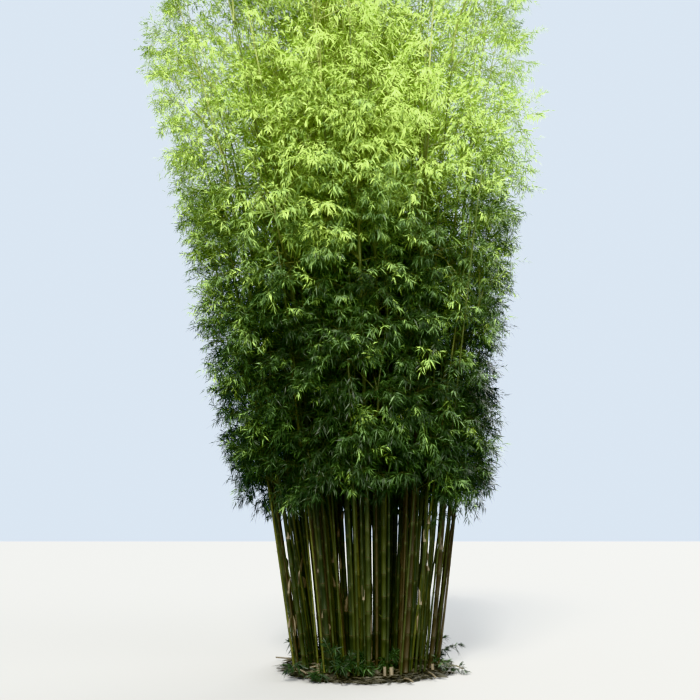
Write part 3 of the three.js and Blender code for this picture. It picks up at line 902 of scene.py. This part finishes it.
def culm_material(name, fresh, aged):
    """Smooth cane: long streaks between two colours, dark rings at the nodes and a waxy bloom below each.

    High in the crown it turns a lighter green, as painted light on the cane up there."""
    finish = Finish(name, 0.5, 0.18)
    phase = finish.node("ShaderNodeAttribute", attribute_name="phase").outputs["Fac"]
    along = finish.node("ShaderNodeMath", {0: phase}, operation="FRACT").outputs[0]
    streaks = finish.noise((90, 90, 2.2), 3.0)
    patches = finish.noise((7, 7, 1.1))
    color = finish.mix(finish.ramp(patches, [(0.38, 0), (0.62, 1)]), fresh, aged)
    color = finish.mix(0.8, color, finish.ramp(streaks, [(0.3, 0.62), (0.7, 1.25)]), "MULTIPLY")
    bloom = finish.ramp(along, [(0.84, 0), (0.985, 0.35), (0.99, 0)])
    ring = finish.ramp(along, [(0.0, 1), (0.012, 0.9), (0.02, 0.25), (0.05, 0)])
    spots = finish.ramp(finish.noise((160, 160, 60), 2.0), [(0.66, 0), (0.74, 0.6)])
    # Painted light: from 2.8 m up the cane turns towards a lighter green.
    height = finish.node("ShaderNodeSeparateXYZ", {"Vector": finish.place()}).outputs["Z"]
    limits = {"Value": height, "From Min": 2.8, "From Max": 6.5, "To Max": 0.85}
    painted_light = finish.node("ShaderNodeMapRange", limits).outputs["Result"]
    for factor, layer in (
        (bloom, (0.10, 0.115, 0.065)),
        (ring, (0.030, 0.024, 0.012)),
        (spots, (0.020, 0.018, 0.010)),
        (painted_light, (0.095, 0.13, 0.036)),
    ):
        color = finish.mix(factor, color, layer)
    rough = finish.ramp(patches, [(0.3, 0.36), (0.7, 0.58)])
    return finish.finish(color, streaks, 0.25, 0.0015, rough)


def rhizome_material():
    """Fibrous brown rhizome with earthy hollows, darker overall as painted shade under the crown."""
    finish = Finish("rhizome_bark", 0.9)
    fine = finish.noise((60, 60, 60), 6.0)
    broad = finish.noise((9, 9, 9))
    stops = [(0.35, (0.008, 0.008, 0.005)), (0.55, (0.016, 0.016, 0.009)), (0.7, (0.030, 0.028, 0.018))]
    color = finish.mix(0.7, finish.ramp(broad, stops), finish.ramp(fine, [(0.3, 0.5), (0.7, 1.3)]), "MULTIPLY")
    return finish.finish(color, fine, 0.8, 0.01)


def fibrous_material(name, roughness, scale, detail, low, high, bump, distance):
    """Dry cane, sheath or leaf: fibres between two colours."""
    finish = Finish(name, roughness)
    fibres = finish.noise(scale, detail)
    return finish.finish(finish.ramp(fibres, [(0.3, low), (0.7, high)]), fibres, bump, distance)


# The rings of an internode from its lower node, as its height and radius: scar, groove, swelling, then the cane.
NODE_PROFILE = ((0.0, 1.0), (0.008, 1.12), (0.016, 1.03), (0.034, 1.09), (0.065, 1.0), (1.0, 1.0))
CULM_SIDES = 10
THIN_CULM_SIDES = 6
SHORTEST_INTERNODE = 0.1
INTERNODE_MERGE = 0.002


def make_active(piece):
    bpy.ops.object.select_all(action="DESELECT")
    piece.select_set(True)
    bpy.context.view_layer.objects.active = piece


def cylinder(sides, radius, foot, height, **settings):
    """An upright cylinder on a foot, with its own origin at the world's."""
    x, y, z = foot
    bpy.ops.mesh.primitive_cylinder_add(
        vertices=sides, radius=radius, depth=height, location=(x, y, z + height / 2), **settings
    )
    bpy.ops.object.transform_apply(location=True)
    return bpy.context.active_object


def faces_up(face):
    return face.normal.z > 0.9


def smooth_up_to(degrees):
    bpy.ops.object.shade_smooth_by_angle(angle=math.radians(degrees))


def select_faces(piece, wanted):
    """Selects only the faces, by a test of each, of the piece in edit mode."""
    mesh = bmesh.from_edit_mesh(piece.data)
    for face in mesh.faces:
        face.select_set(False)
    bpy.context.tool_settings.mesh_select_mode = (False, False, True)
    for face in mesh.faces:
        if wanted(face):
            face.select_set(True)
    bmesh.update_edit_mesh(piece.data)


def internode(sides):
    """One internode, open at both ends, of radius 1 and length 1."""
    rise, wide = NODE_PROFILE[1]
    piece = cylinder(sides, 1, (0, 0, 0), rise, end_fill_type="NOTHING")
    bpy.ops.object.mode_set(mode="EDIT")
    bpy.context.tool_settings.mesh_select_mode = (False, True, False)
    mesh = bmesh.from_edit_mesh(piece.data)
    for edge in mesh.edges:
        edge.select_set(all(v.co.z > rise / 2 for v in edge.verts))
    bmesh.update_edit_mesh(piece.data)
    bpy.ops.transform.resize(value=(wide, wide, 1), center_override=(0, 0, rise))
    for (low, before), (high, after) in zip(NODE_PROFILE[1:], NODE_PROFILE[2:]):
        bpy.ops.mesh.extrude_edges_move(TRANSFORM_OT_translate={"value": (0, 0, high - low)})
        bpy.ops.transform.resize(value=(after / before, after / before, 1), center_override=(0, 0, high))
    bpy.ops.object.mode_set(mode="OBJECT")
    return piece


def copied(template, name):
    piece = template.copy()
    piece.data = template.data.copy()
    piece.name = name
    piece.data.name = name
    bpy.context.scene.collection.objects.link(piece)
    return piece


def culm_piece(culm, template, name, material):
    """A culm from its foot to its end: internodes in a row, set along the culm's own line and taper."""
    heights = [z for z in culm["nodes"] if z < culm["end"] - SHORTEST_INTERNODE] + [culm["end"]]
    piece = copied(template, name)
    make_active(piece)
    row = piece.modifiers.new("internodes", "ARRAY")
    row.use_relative_offset = False
    row.use_constant_offset = True
    row.constant_offset_displace = (0, 0, 1)
    row.count = len(heights) - 1
    row.use_merge_vertices = True
    row.merge_threshold = INTERNODE_MERGE
    bpy.ops.object.modifier_apply(modifier=row.name)
    bpy.ops.object.mode_set(mode="EDIT")
    bpy.ops.mesh.select_all(action="SELECT")
    bpy.ops.mesh.fill_holes(sides=0)
    bpy.ops.mesh.select_all(action="SELECT")
    bpy.ops.mesh.normals_make_consistent(inside=False)
    bpy.ops.object.mode_set(mode="OBJECT")
    mesh = piece.data
    places = np.empty(len(mesh.vertices) * 3)
    mesh.vertices.foreach_get("co", places)
    places = places.reshape(-1, 3)
    phase = places[:, 2].copy()
    rises = np.interp(phase, np.arange(len(heights)), heights)
    centres = np.array([culm_centre(culm, z) for z in rises])
    radii = np.array([culm_radius(culm, z) for z in rises])
    places = np.column_stack([places[:, :2] * radii[:, None] + centres[:, :2], rises])
    mesh.vertices.foreach_set("co", places.ravel())
    attribute = mesh.attributes.new("phase", "FLOAT", "POINT")
    attribute.data.foreach_set("value", phase.astype(np.float32))
    mesh.materials.clear()
    mesh.materials.append(material)
    mesh.polygons.foreach_set("use_smooth", np.ones(len(mesh.polygons), bool))
    mesh.update()
    return piece


def join_pieces(pieces, name):
    make_active(pieces[0])
    for piece in pieces:
        piece.select_set(True)
    bpy.ops.object.join()
    pieces[0].name = name
    pieces[0].data.name = name
    return pieces[0]


KNUCKLE_SIDES = 24
KNUCKLE_RINGS = 4
KNUCKLE_DROP = 0.035
KNUCKLE_GRAIN = 0.008


def knuckle_piece(foot, material):
    """The low knuckle of the rhizome that a knot of culms rises from."""
    piece = cylinder(KNUCKLE_SIDES, KNUCKLE_RADIUS, (*foot, ROOT_HEIGHT + SEAT_GAP), KNUCKLE_HEIGHT)
    bpy.ops.object.mode_set(mode="EDIT")
    select_faces(piece, faces_up)
    for _ in range(KNUCKLE_RINGS):
        bpy.ops.mesh.inset(thickness=KNUCKLE_RADIUS / (KNUCKLE_RINGS + 1))
    bpy.ops.object.mode_set(mode="OBJECT")
    for vertex in piece.data.vertices:
        if vertex.co.z > ROOT_HEIGHT + KNUCKLE_HEIGHT / 2:
            away = math.dist(vertex.co.xy, foot) / KNUCKLE_RADIUS
            grain = math.sin(37 * vertex.co.x) * math.cos(41 * vertex.co.y)
            vertex.co.z += -KNUCKLE_DROP * away**4 + KNUCKLE_GRAIN * grain * (1 - away)
    piece.data.materials.append(material)
    make_active(piece)
    smooth_up_to(50)
    return piece


def plant_thin_culms(culms):
    """Thin and young culms in the gaps between the full-grown ones."""
    draw = seeded(SEED + 2)
    made = []
    while len(made) < THIN_CULMS:
        azimuth = 2 * math.pi * draw()
        foot = on_ring(math.sqrt(between([r * r for r in THIN_CULM_RING], draw())), azimuth)
        radius = between(THIN_CULM_RADIUS, draw())
        end = between(THIN_CULM_END, draw())
        if any(math.dist(foot, c["foot"]) < radius + c["radius"] + THIN_CULM_GAP for c in culms + made):
            continue
        offset = HEAD_OFFSET * (LEANING_HEAD if len(made) < LEANING_CULMS else THIN_CULM_HEAD)
        culm = {"foot": foot, "head": on_ring(offset, 2 * math.pi * draw()), "radius": radius, "knot": 0}
        made.append({**culm, "length": end + THIN_CULM_TAIL, "end": end, "tip": end, "mass": None})
    return made


def numbered(word, n):
    return f"{word}_{n:02d}"


# The canes' finishes: the draw that each is taken below, and its fresh and aged colours. All are darker than the
# cane's own colour, as painted shade under the crown.
CANE_FINISHES = (
    ("cane_dark_green", 0.3, (0.008, 0.012, 0.005), (0.012, 0.016, 0.007)),
    ("cane_green", 0.62, (0.013, 0.018, 0.007), (0.022, 0.027, 0.009)),
    ("cane_olive", 0.84, (0.030, 0.037, 0.010), (0.056, 0.060, 0.017)),
    ("cane_brown", 1.0, (0.017, 0.015, 0.008), (0.030, 0.025, 0.014)),
)


def add_culms(culms, thin_culms):
    cane = internode(CULM_SIDES)
    thin_cane = internode(THIN_CULM_SIDES)
    finishes = [(below, culm_material(name, fresh, aged)) for name, below, fresh, aged in CANE_FINISHES]
    draw = seeded(SEED + 3)

    def finished(culm, template, name="cane"):
        share = draw()
        return culm_piece(culm, template, name, next(finish for below, finish in finishes if share < below))

    singles = [culm for culm in culms if culm["knot"] is None]
    for k, culm in enumerate(singles):
        name = numbered("culm", k + 1)
        piece = finished(culm, cane, "cane_" + name)
        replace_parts(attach(piece, "root"), name)
    rhizome = bpy.data.materials["rhizome_bark"]
    for n in range(KNOTS):
        name = f"culm_knot_{n + 1}"
        group = [culm for culm in culms if culm["knot"] == n]
        pieces = [finished(culm, cane) for culm in group]
        pieces.append(knuckle_piece(group[0]["foot"], rhizome))
        piece = join_pieces(pieces, "cane_" + name)
        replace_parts(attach(piece, "root"), name)
    for n in range(THIN_CULMS // THIN_CULM_GROUP):
        group = thin_culms[n * THIN_CULM_GROUP : (n + 1) * THIN_CULM_GROUP]
        piece = join_pieces([finished(culm, thin_cane) for culm in group], numbered("thin_culms", n + 1))
        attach(piece, "root")
    for template in (cane, thin_cane):
        bpy.data.objects.remove(template)


ROOT_RINGS = 24
ROOT_SEGMENTS = 168
ROOT_SHOULDER_FROM = 0.66
ROOT_SHOULDER_DROP = 0.062
ROOT_SHOULDER_POWER = 1.5
ROOT_GRAIN = 0.006
ROOT_WAVES = ((1, ROOT_LOBES, math.pi / 2), (0.5, 31, 1), (0.3, 57, 0))  # how high, how many round it, their start
COLLAR_HEIGHT, COLLAR_WIDTH, COLLARS_HEIGHT = 0.030, 0.055, 0.04  # of one culm's collar, and of several at most


def feet_of(culms):
    return np.array([culm["foot"] for culm in culms])


def root_top(x, y, feet):
    """The rhizome's upper side at a place: swollen round each culm's foot, uneven, and lower at its rim."""
    apart = np.hypot(feet[:, 0] - x, feet[:, 1] - y)
    collars = min(COLLAR_HEIGHT * np.exp(-((apart / COLLAR_WIDTH) ** 2)).sum(), COLLARS_HEIGHT)
    grain = math.sin(23 * x + 1.7) * math.cos(19 * y - 0.6) + 0.5 * math.sin(61 * x) * math.sin(53 * y)
    rim = min(max(math.hypot(x, y) / ROOT_RADIUS - ROOT_SHOULDER_FROM, 0) / (1 - ROOT_SHOULDER_FROM), 1)
    swollen = (collars + ROOT_GRAIN * grain) * (1 - rim)
    return ROOT_HEIGHT + swollen - ROOT_SHOULDER_DROP * rim**ROOT_SHOULDER_POWER


def add_rootstock(culms):
    piece = cylinder(ROOT_SEGMENTS, ROOT_RADIUS, (0, 0, 0), ROOT_HEIGHT)
    piece.name = "root_crown"
    bpy.ops.object.mode_set(mode="EDIT")
    select_faces(piece, faces_up)
    for _ in range(ROOT_RINGS - 1):
        bpy.ops.mesh.inset(thickness=ROOT_RADIUS / ROOT_RINGS)
    select_faces(piece, lambda face: abs(face.normal.z) < 0.1)
    bpy.ops.mesh.subdivide(number_cuts=1, quadcorner="STRAIGHT_CUT")
    bpy.ops.object.mode_set(mode="OBJECT")
    feet = feet_of(culms)
    for vertex in piece.data.vertices:
        x, y, z = vertex.co
        azimuth = math.atan2(y, x)
        reach = math.hypot(x, y) / ROOT_RADIUS
        waves = sum(high * math.sin(count * azimuth + start) for high, count, start in ROOT_WAVES)
        lobe = 1 + ROOT_LOBE_SHARE * waves * reach**2
        vertex.co.z = root_top(x, y, feet) * z / ROOT_HEIGHT
        vertex.co.xy = (x * lobe, y * lobe)
    piece.data.materials.append(rhizome_material())
    make_active(piece)
    smooth_up_to(50)
    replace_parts(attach(piece, "root"), "rootstock")


STUBS = 16
STUB_RING = 0.9
STUB_RADIUS = (0.015, 0.024)
STUB_HEIGHT = (0.04, 0.16)
STUB_GAP = 0.006
STUB_SIDES = 14
STUB_SUNK = 0.01
STUB_WALL_SHARE = 0.28
STUB_HOLLOW_SHARE = 0.5
STUB_SLANT = 0.3
STUB_TOP_SHARE = 0.7


def add_stubs(culms):
    """Old culms that were cut off low, hollow at the top, in the gaps between the feet."""
    colors = (0.035, 0.029, 0.018), (0.12, 0.10, 0.062)
    finish = fibrous_material("weathered_cane", 0.8, (120, 120, 8), 4.0, *colors, 0.5, 0.002)
    draw = seeded(SEED + 4)
    pieces, places = [], [(*culm["foot"], culm["radius"]) for culm in culms]
    while len(pieces) < STUBS:
        azimuth = 2 * math.pi * draw()
        x, y = on_ring(STUB_RING * math.sqrt(draw()), azimuth)
        radius, height = between(STUB_RADIUS, draw()), between(STUB_HEIGHT, draw())
        if any(math.dist((x, y), place[:2]) < radius + place[2] + STUB_GAP for place in places):
            continue
        places.append((x, y, radius))
        piece = cylinder(STUB_SIDES, radius, (x, y, ROOT_HEIGHT - STUB_SUNK), height)
        bpy.ops.object.mode_set(mode="EDIT")
        select_faces(piece, faces_up)
        bpy.ops.mesh.inset(thickness=radius * STUB_WALL_SHARE)
        bpy.ops.mesh.extrude_region_move(TRANSFORM_OT_translate={"value": (0, 0, -height * STUB_HOLLOW_SHARE)})
        bpy.ops.object.mode_set(mode="OBJECT")
        slant = STUB_SLANT * (draw() - 0.5)
        for vertex in piece.data.vertices:
            if vertex.co.z > ROOT_HEIGHT + height * STUB_TOP_SHARE:
                vertex.co.z += slant * (vertex.co.x - x)
        piece.data.materials.append(finish)
        pieces.append(piece)
    piece = join_pieces(pieces, "cut_culm_stubs")
    smooth_up_to(40)
    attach(piece, "root")


SHEATH_TOP = 1.8
SHEATH_SHARE = 0.1
SHEATH_LENGTH = (0.10, 0.22)
SHEATH_FLARE = (0.05, 0.8)
SHEATH_WRAP = 4.2  # the angle round its cane that a sheath covers at its foot
SHEATH_REACH, SHEATH_GAP = 1.06, 0.003  # how far from its cane's middle it lies: a share of the radius, and a gap
# A sheath's outline: its height at each row and the share of the full wrap there.
SHEATH_ROWS = ((0.0, 1.0), (0.35, 0.92), (0.7, 0.62), (1.0, 0.06))
SHEATH_COLUMNS = 6


def sheath_mesh(centres, radii, turns, heights, flares):
    """Papery sheaths round canes: each wraps up to two thirds of its cane and leans off it at the top."""
    n = len(radii)
    across = np.linspace(-0.5, 0.5, SHEATH_COLUMNS)
    rows = []
    for height, wrap in SHEATH_ROWS:
        angles = turns[:, None] + across[None] * wrap * SHEATH_WRAP
        reach = (radii * SHEATH_REACH + SHEATH_GAP)[:, None] * (1 + flares[:, None] * height**2)
        x = centres[:, 0, None] + reach * np.cos(angles)
        y = centres[:, 1, None] + reach * np.sin(angles)
        z = np.repeat((centres[:, 2] + heights * height)[:, None], SHEATH_COLUMNS, axis=1)
        rows.append(np.stack([x, y, z], axis=-1))
    faces = grid_faces(len(SHEATH_ROWS), SHEATH_COLUMNS)
    return np.stack(rows, axis=1).reshape(-1, 3), *repeated(faces, len(SHEATH_ROWS) * SHEATH_COLUMNS, n)


DRY_LEAVES, FALLEN_SHEATHS = 2600, 110
DRY_LEAF_LENGTH, DRY_LEAF_WIDTH_SHARE = (0.07, 0.17), 0.16
FALLEN_SHEATH_LENGTH, FALLEN_SHEATH_WIDTH_SHARE = (0.10, 0.22), 0.36
LITTER_REACH, LITTER_CROWDING = 1.02, 0.4
LITTER_TILT = (0.0, 0.4)
LITTER_LIFT = (0.004, 0.03)
LITTER_LONGER, LITTER_SHORTENING = 1.4, 0.6  # at the middle, and how much that falls by a metre further out
FALLEN_CANES = 22
FALLEN_CANE_LENGTH = (0.15, 0.4)
FALLEN_CANE_RADIUS = 0.009
FALLEN_CANE_SHARES = (0, 0.3, 0.6, 0.98, 1.0)
FALLEN_CANE_SIDES = 7


def add_sheaths_and_litter(culms):
    rows = []
    for culm in culms:
        for z in culm["nodes"][1:]:
            if z < SHEATH_TOP and rng.random() < SHEATH_SHARE:
                turn, length = rng.uniform(0, 2 * math.pi), rng.uniform(*SHEATH_LENGTH)
                rows.append((*culm_centre(culm, z), culm_radius(culm, z), turn, length))
    rows = np.array(rows)
    dry = {"roughness": 0.75, "scale": (70, 70, 14), "detail": 3.0, "bump": 0.4, "distance": 0.001}
    straw = fibrous_material("papery_sheath", low=(0.040, 0.034, 0.021), high=(0.12, 0.10, 0.060), **dry)
    sheaths = sheath_mesh(rows[:, :3], *rows[:, 3:].T, drawn(SHEATH_FLARE, len(rows)))
    piece = mesh_piece("culm_sheaths", [sheaths], straw)
    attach(piece, "root")

    feet = feet_of(culms)
    # The dry leaves' dark browns also paint the shade on the ground under the crown.
    litter = fibrous_material("dry_leaves", low=(0.011, 0.011, 0.006), high=(0.043, 0.039, 0.023), **dry)
    leaves = leaf_mesh(fallen(DRY_LEAVES, DRY_LEAF_LENGTH, feet), SHOWN_LEAF, DRY_LEAF_WIDTH_SHARE)
    shed = fallen(FALLEN_SHEATHS, FALLEN_SHEATH_LENGTH, feet)
    parts = [leaves, leaf_mesh(shed, SHOWN_LEAF, FALLEN_SHEATH_WIDTH_SHARE)]
    piece = mesh_piece("dry_leaf_litter", parts, litter)
    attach(piece, "root")
    lying = fallen(FALLEN_CANES, FALLEN_CANE_LENGTH, feet)
    points, _ = points_along(lying, np.tile(FALLEN_CANE_SHARES, (FALLEN_CANES, 1)))
    points[..., 2] = np.maximum(points[..., 2], FALLEN_CANE_RADIUS) + FALLEN_CANE_RADIUS
    canes = tube_mesh(points, np.full(points.shape[:2], FALLEN_CANE_RADIUS), FALLEN_CANE_SIDES)
    piece = mesh_piece("fallen_canes", [canes], bpy.data.materials["weathered_cane"])
    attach(piece, "root")


def on_rhizome(azimuths, rings, feet, above):
    """Places round the rhizome's middle, at heights above its upper side."""
    x, y = rings * np.cos(azimuths), rings * np.sin(azimuths)
    return np.stack([x, y, np.array([root_top(*place, feet) for place in zip(x, y)]) + above], axis=1)


def fallen(count, lengths, feet):
    """Blades that lie on the rhizome, each with its foot on it and its tip a little up or level."""
    azimuths = drawn((0, 2 * math.pi), count)
    rings = LITTER_REACH * drawn((0.02, 1), count) ** LITTER_CROWDING
    headings, tilts = drawn((0, 2 * math.pi), count), drawn(LITTER_TILT, count)
    return {
        "root": on_rhizome(azimuths, rings, feet, drawn(LITTER_LIFT, count)),
        "direction": aimed(headings, tilts),
        "length": drawn(lengths, count) * (LITTER_LONGER - LITTER_SHORTENING * rings),
        "sag": np.sin(tilts),
    }


SHOOTS = 40
SHOOT_RING = (0.55, 0.92)
SHOOT_TURN = (-1.2, 1.2)
SHOOT_RISE = (0.5, 1.3)
SHOOT_LENGTH = (0.18, 0.5)
SHOOT_SAG = (0.1, 0.5)
# The shoots get the darkest greens, as painted shade at the clump's foot.
SHOOT_TONE = (-0.3, 1.2)
SHOOT_SUNK = 0.01
SHOOT_TWIGS = {"count": 5, "shares": (0.3, 0.8), "lengths": (0.06, 0.13)}


def low_shoots(feet):
    """Short leafy shoots that rise from the rhizome round the feet of the outer culms."""
    azimuths, rings = drawn((0, 2 * math.pi), SHOOTS), drawn(SHOOT_RING, SHOOTS)
    headings, rises = azimuths + drawn(SHOOT_TURN, SHOOTS), drawn(SHOOT_RISE, SHOOTS)
    return {
        "root": on_rhizome(azimuths, rings, feet, -SHOOT_SUNK),
        "direction": aimed(headings, rises),
        "length": drawn(SHOOT_LENGTH, SHOOTS),
        "sag": drawn(SHOOT_SAG, SHOOTS),
        "tone": drawn(SHOOT_TONE, SHOOTS),
        "depth": np.zeros(SHOOTS),
    }


def region_of(z):
    return np.where(z < LOWER_FOLIAGE_TOP, 0, np.where(z < PLUME_FROM + SEED_DEPTH, 1, 2))


REGIONS = ("lower_foliage", "middle_foliage", "plume")
# The twigs' barks by region: darker in the lower foliage as painted shade, lighter in the plume as painted light.
TWIG_BARKS = ((0.040, 0.050, 0.012), (0.085, 0.105, 0.022), (0.210, 0.250, 0.060))
# Branches as tubes: their rings' places and sizes. The masses' stems are thinner than in the solids.
BRANCH_RINGS, BRANCH_SIZES = (0, 0.33, 0.66, 1.0), (1, 0.8, 0.6, 0.3)
TWIG_SIDES, MASS_TWIG_SIDES, STEM_SIDES = 3, 5, 6
STEM_RINGS = 11
STEM_THINNED = 0.7
TIP_RINGS = 12


def branch_tubes(limbs):
    n = len(limbs["root"])
    points, _ = points_along(limbs, np.tile(BRANCH_RINGS, (n, 1)))
    return tube_mesh(points, np.tile(BRANCH_SIZES, (n, 1)) * BRANCH_RADIUS, TWIG_SIDES)


def twig_tubes(twigs):
    ends = np.stack([twigs["root"], twigs["root"] + twigs["direction"] * twigs["length"][:, None]], axis=1)
    return tube_mesh(ends, np.full((len(ends), 2), LEAFY_TWIG_RADIUS), TWIG_SIDES)


def mass_limbs(masses, twigs, region):
    """The stems of the masses in a region, and their own twigs."""
    lines = np.array([line for line in twigs if region_of(line[1].z) == region])
    stems = [mass for mass in masses if region_of(mass["seed"].z) == region]
    steps = STEM_RINGS - 1
    curves = np.array([[bezier(*mass["line"], k / steps) for k in range(STEM_RINGS)] for mass in stems])
    radii = np.tile(np.linspace(*STEM_RADIUS, STEM_RINGS)[None] * STEM_THINNED, (len(stems), 1))
    twig_radii = np.full((len(lines), 2), TWIG_RADIUS)
    return [tube_mesh(lines, twig_radii, MASS_TWIG_SIDES), tube_mesh(curves, radii, STEM_SIDES)]


def culm_tips(culms):
    heights = [np.linspace(culm["end"], culm["tip"], TIP_RINGS) for culm in culms]
    lines = np.array([[culm_centre(culm, z) for z in own] for culm, own in zip(culms, heights)])
    radii = np.array([[culm_radius(culm, z, THINNEST_TIP) for z in own] for culm, own in zip(culms, heights)])
    return tube_mesh(lines, radii, STEM_SIDES)


def spurs(culms):
    """Short bare side twigs at the nodes of the bare part."""
    rows = []
    for culm in culms:
        for z in culm["nodes"]:
            if SPUR_HEIGHTS[0] < z < SPUR_HEIGHTS[1] and rng.random() < SPUR_SHARE:
                azimuth, rise = rng.uniform(0, 2 * math.pi), rng.uniform(*SPUR_RISE)
                length = rng.uniform(*SPUR_LENGTH)
                rows.append((*culm_centre(culm, z), azimuth, rise, length + culm["radius"]))
    return limbs_of(rows, np.full(len(rows), SPUR_SAG))


def leafy_twigs(limbs, growth):
    return sunlit(in_reach(sprout(limbs, **growth, **TWIG_GROWTH)), SUNLIT_TWIGS, TWIG_TONE_CHANCE)


def grow_leaves(twigs, growth, sizes):
    leaves = sprout(twigs, **growth, **LEAF_GROWTH)
    leaves["length"] *= np.interp(leaves["root"][:, 2], LEAF_SIZE_HEIGHTS, sizes)
    return leaves


def add_foliage(culms, masses, stretches):
    twigs, sprays = grow_twigs(masses, stretches)
    limbs = joined(grow_branches(culms, masses), keep_inside(spray_branches(sprays), masses))
    limbs = deal_tones(limbs, masses)
    in_tuft = limbs["depth"] < TUFT_DEPTH
    tuft = leafy_twigs(chosen(limbs, in_tuft), TUFT_TWIGS)
    shade = leafy_twigs(chosen(limbs, ~in_tuft), SHADE_TWIGS)
    shoots = low_shoots(feet_of(culms))
    tuft = joined(tuft, sprout(shoots, **SHOOT_TWIGS, **TWIG_GROWTH))
    limbs = joined(limbs, shoots)
    leafy = joined(tuft, shade)
    leaves = joined(grow_leaves(tuft, TUFT_LEAVES, LEAF_SIZES), grow_leaves(shade, SHADE_LEAVES, SHADE_LEAF_SIZES))
    tones = leaves["tone"] + rng.normal(0, LEAF_TONE_CHANCE, len(leaves["tone"]))
    leaves["tone"] = np.clip(np.rint(tones), 0, len(GREENS) - 1)
    leaves = in_reach(leaves)
    twig_barks = [plain_material(f"twig_bark_{n + 1}", bark, 0.6) for n, bark in enumerate(TWIG_BARKS)]
    greens = [plain_material(f"leaf_green_{n + 1}", green, 0.5, 0.18) for n, green in enumerate(GREENS)]
    shown = leaves["depth"] < SHOWN_DEPTH
    regions = region_of(leaves["root"][:, 2])
    for region, word in enumerate(REGIONS):
        own = [node for node in sorted(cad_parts) if node.startswith(word)]
        for tone, green in enumerate(greens):
            here = (regions == region) & (leaves["tone"] == tone)
            if not here.any():
                continue
            kinds = ((SHOWN_LEAF, here & shown), (DEEP_LEAF, here & ~shown))
            parts = [leaf_mesh(chosen(leaves, which), outline, lean=LEAF_LEAN) for outline, which in kinds]
            piece = mesh_piece(f"{word}_leaves_{tone + 1}", parts, green)
            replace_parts(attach(piece, "root"), *own)
        parts = [
            branch_tubes(chosen(limbs, region_of(limbs["root"][:, 2]) == region)),
            twig_tubes(chosen(leafy, region_of(leafy["root"][:, 2]) == region)),
            *mass_limbs(masses, twigs, region),
        ]
        if word == "plume":
            parts.append(culm_tips(culms))
        if word == "lower_foliage":
            parts.append(branch_tubes(spurs(culms)))
        piece = mesh_piece(f"{word}_twigs", parts, twig_barks[region])
        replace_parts(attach(piece, "root"), *own)


WORLD_COLOR = (0.79, 0.885, 1.0)
WORLD_STRENGTH = 1.1
FLOOR_SIZE = 400
FLOOR_COLOR = (0.25, 0.25, 0.246)
# Wide soft lights from far away: where each comes from, how wide it looks, its strength and colour.
LIGHTS = (
    ("key", (-6, -27, 23), 0.35, 8.2, (1, 0.96, 0.86)),
    ("fill", (12, -24, 9), 1.8, 6.5, (1, 0.99, 0.96)),
    ("back", (14, 22, 18), 0.8, 3.8, (1, 0.98, 0.94)),
)


def add_stage():
    bpy.ops.mesh.primitive_plane_add(size=FLOOR_SIZE)
    floor = bpy.context.active_object
    floor.name = "floor"
    floor.data.materials.append(plain_material("pale_floor", FLOOR_COLOR, 0.9))
    world = bpy.data.worlds.new("studio")
    bpy.context.scene.world = world
    world.use_nodes = True
    background = world.node_tree.nodes["Background"]
    background.inputs["Color"].default_value = (*WORLD_COLOR, 1)
    background.inputs["Strength"].default_value = WORLD_STRENGTH
    for name, place, angle, strength, color in LIGHTS:
        data = bpy.data.lights.new(name, "SUN")
        data.angle, data.energy, data.color = angle, strength, color
        light = bpy.data.objects.new(name, data)
        light.location = place
        light.rotation_euler = Vector(place).to_track_quat("Z", "Y").to_euler()
        bpy.context.scene.collection.objects.link(light)


def add_camera():
    data = bpy.data.cameras.new("camera")
    data.lens = CAMERA_LENS
    data.sensor_width = 36
    camera = bpy.data.objects.new("camera", data)
    camera.location = CAMERA_PLACE
    camera.rotation_euler = (math.pi / 2 + CAMERA_TILT, 0, 0)
    bpy.context.scene.collection.objects.link(camera)
    bpy.context.scene.camera = camera
    bpy.context.scene.view_settings.view_transform = "Khronos PBR Neutral"


add_camera()
add_stage()
culms = plant_culms()
masses, stretches = grow_masses(culms)
draw_nodes = seeded(SEED + 1)
for culm in culms:
    culm["tip"] = tip_height(culm) - (LOWEST_TIP_DROP * draw_nodes() ** 2 if culm["mass"] is None else 0)
    culm["nodes"] = node_heights(culm, draw_nodes)
thin_culms = plant_thin_culms(culms)
for culm in thin_culms:
    culm["nodes"] = node_heights(culm, draw_nodes)
add_rootstock(culms + thin_culms)
add_culms(culms, thin_culms)
add_stubs(culms + thin_culms)
add_sheaths_and_litter(culms + thin_culms)
add_foliage(culms, masses, stretches)
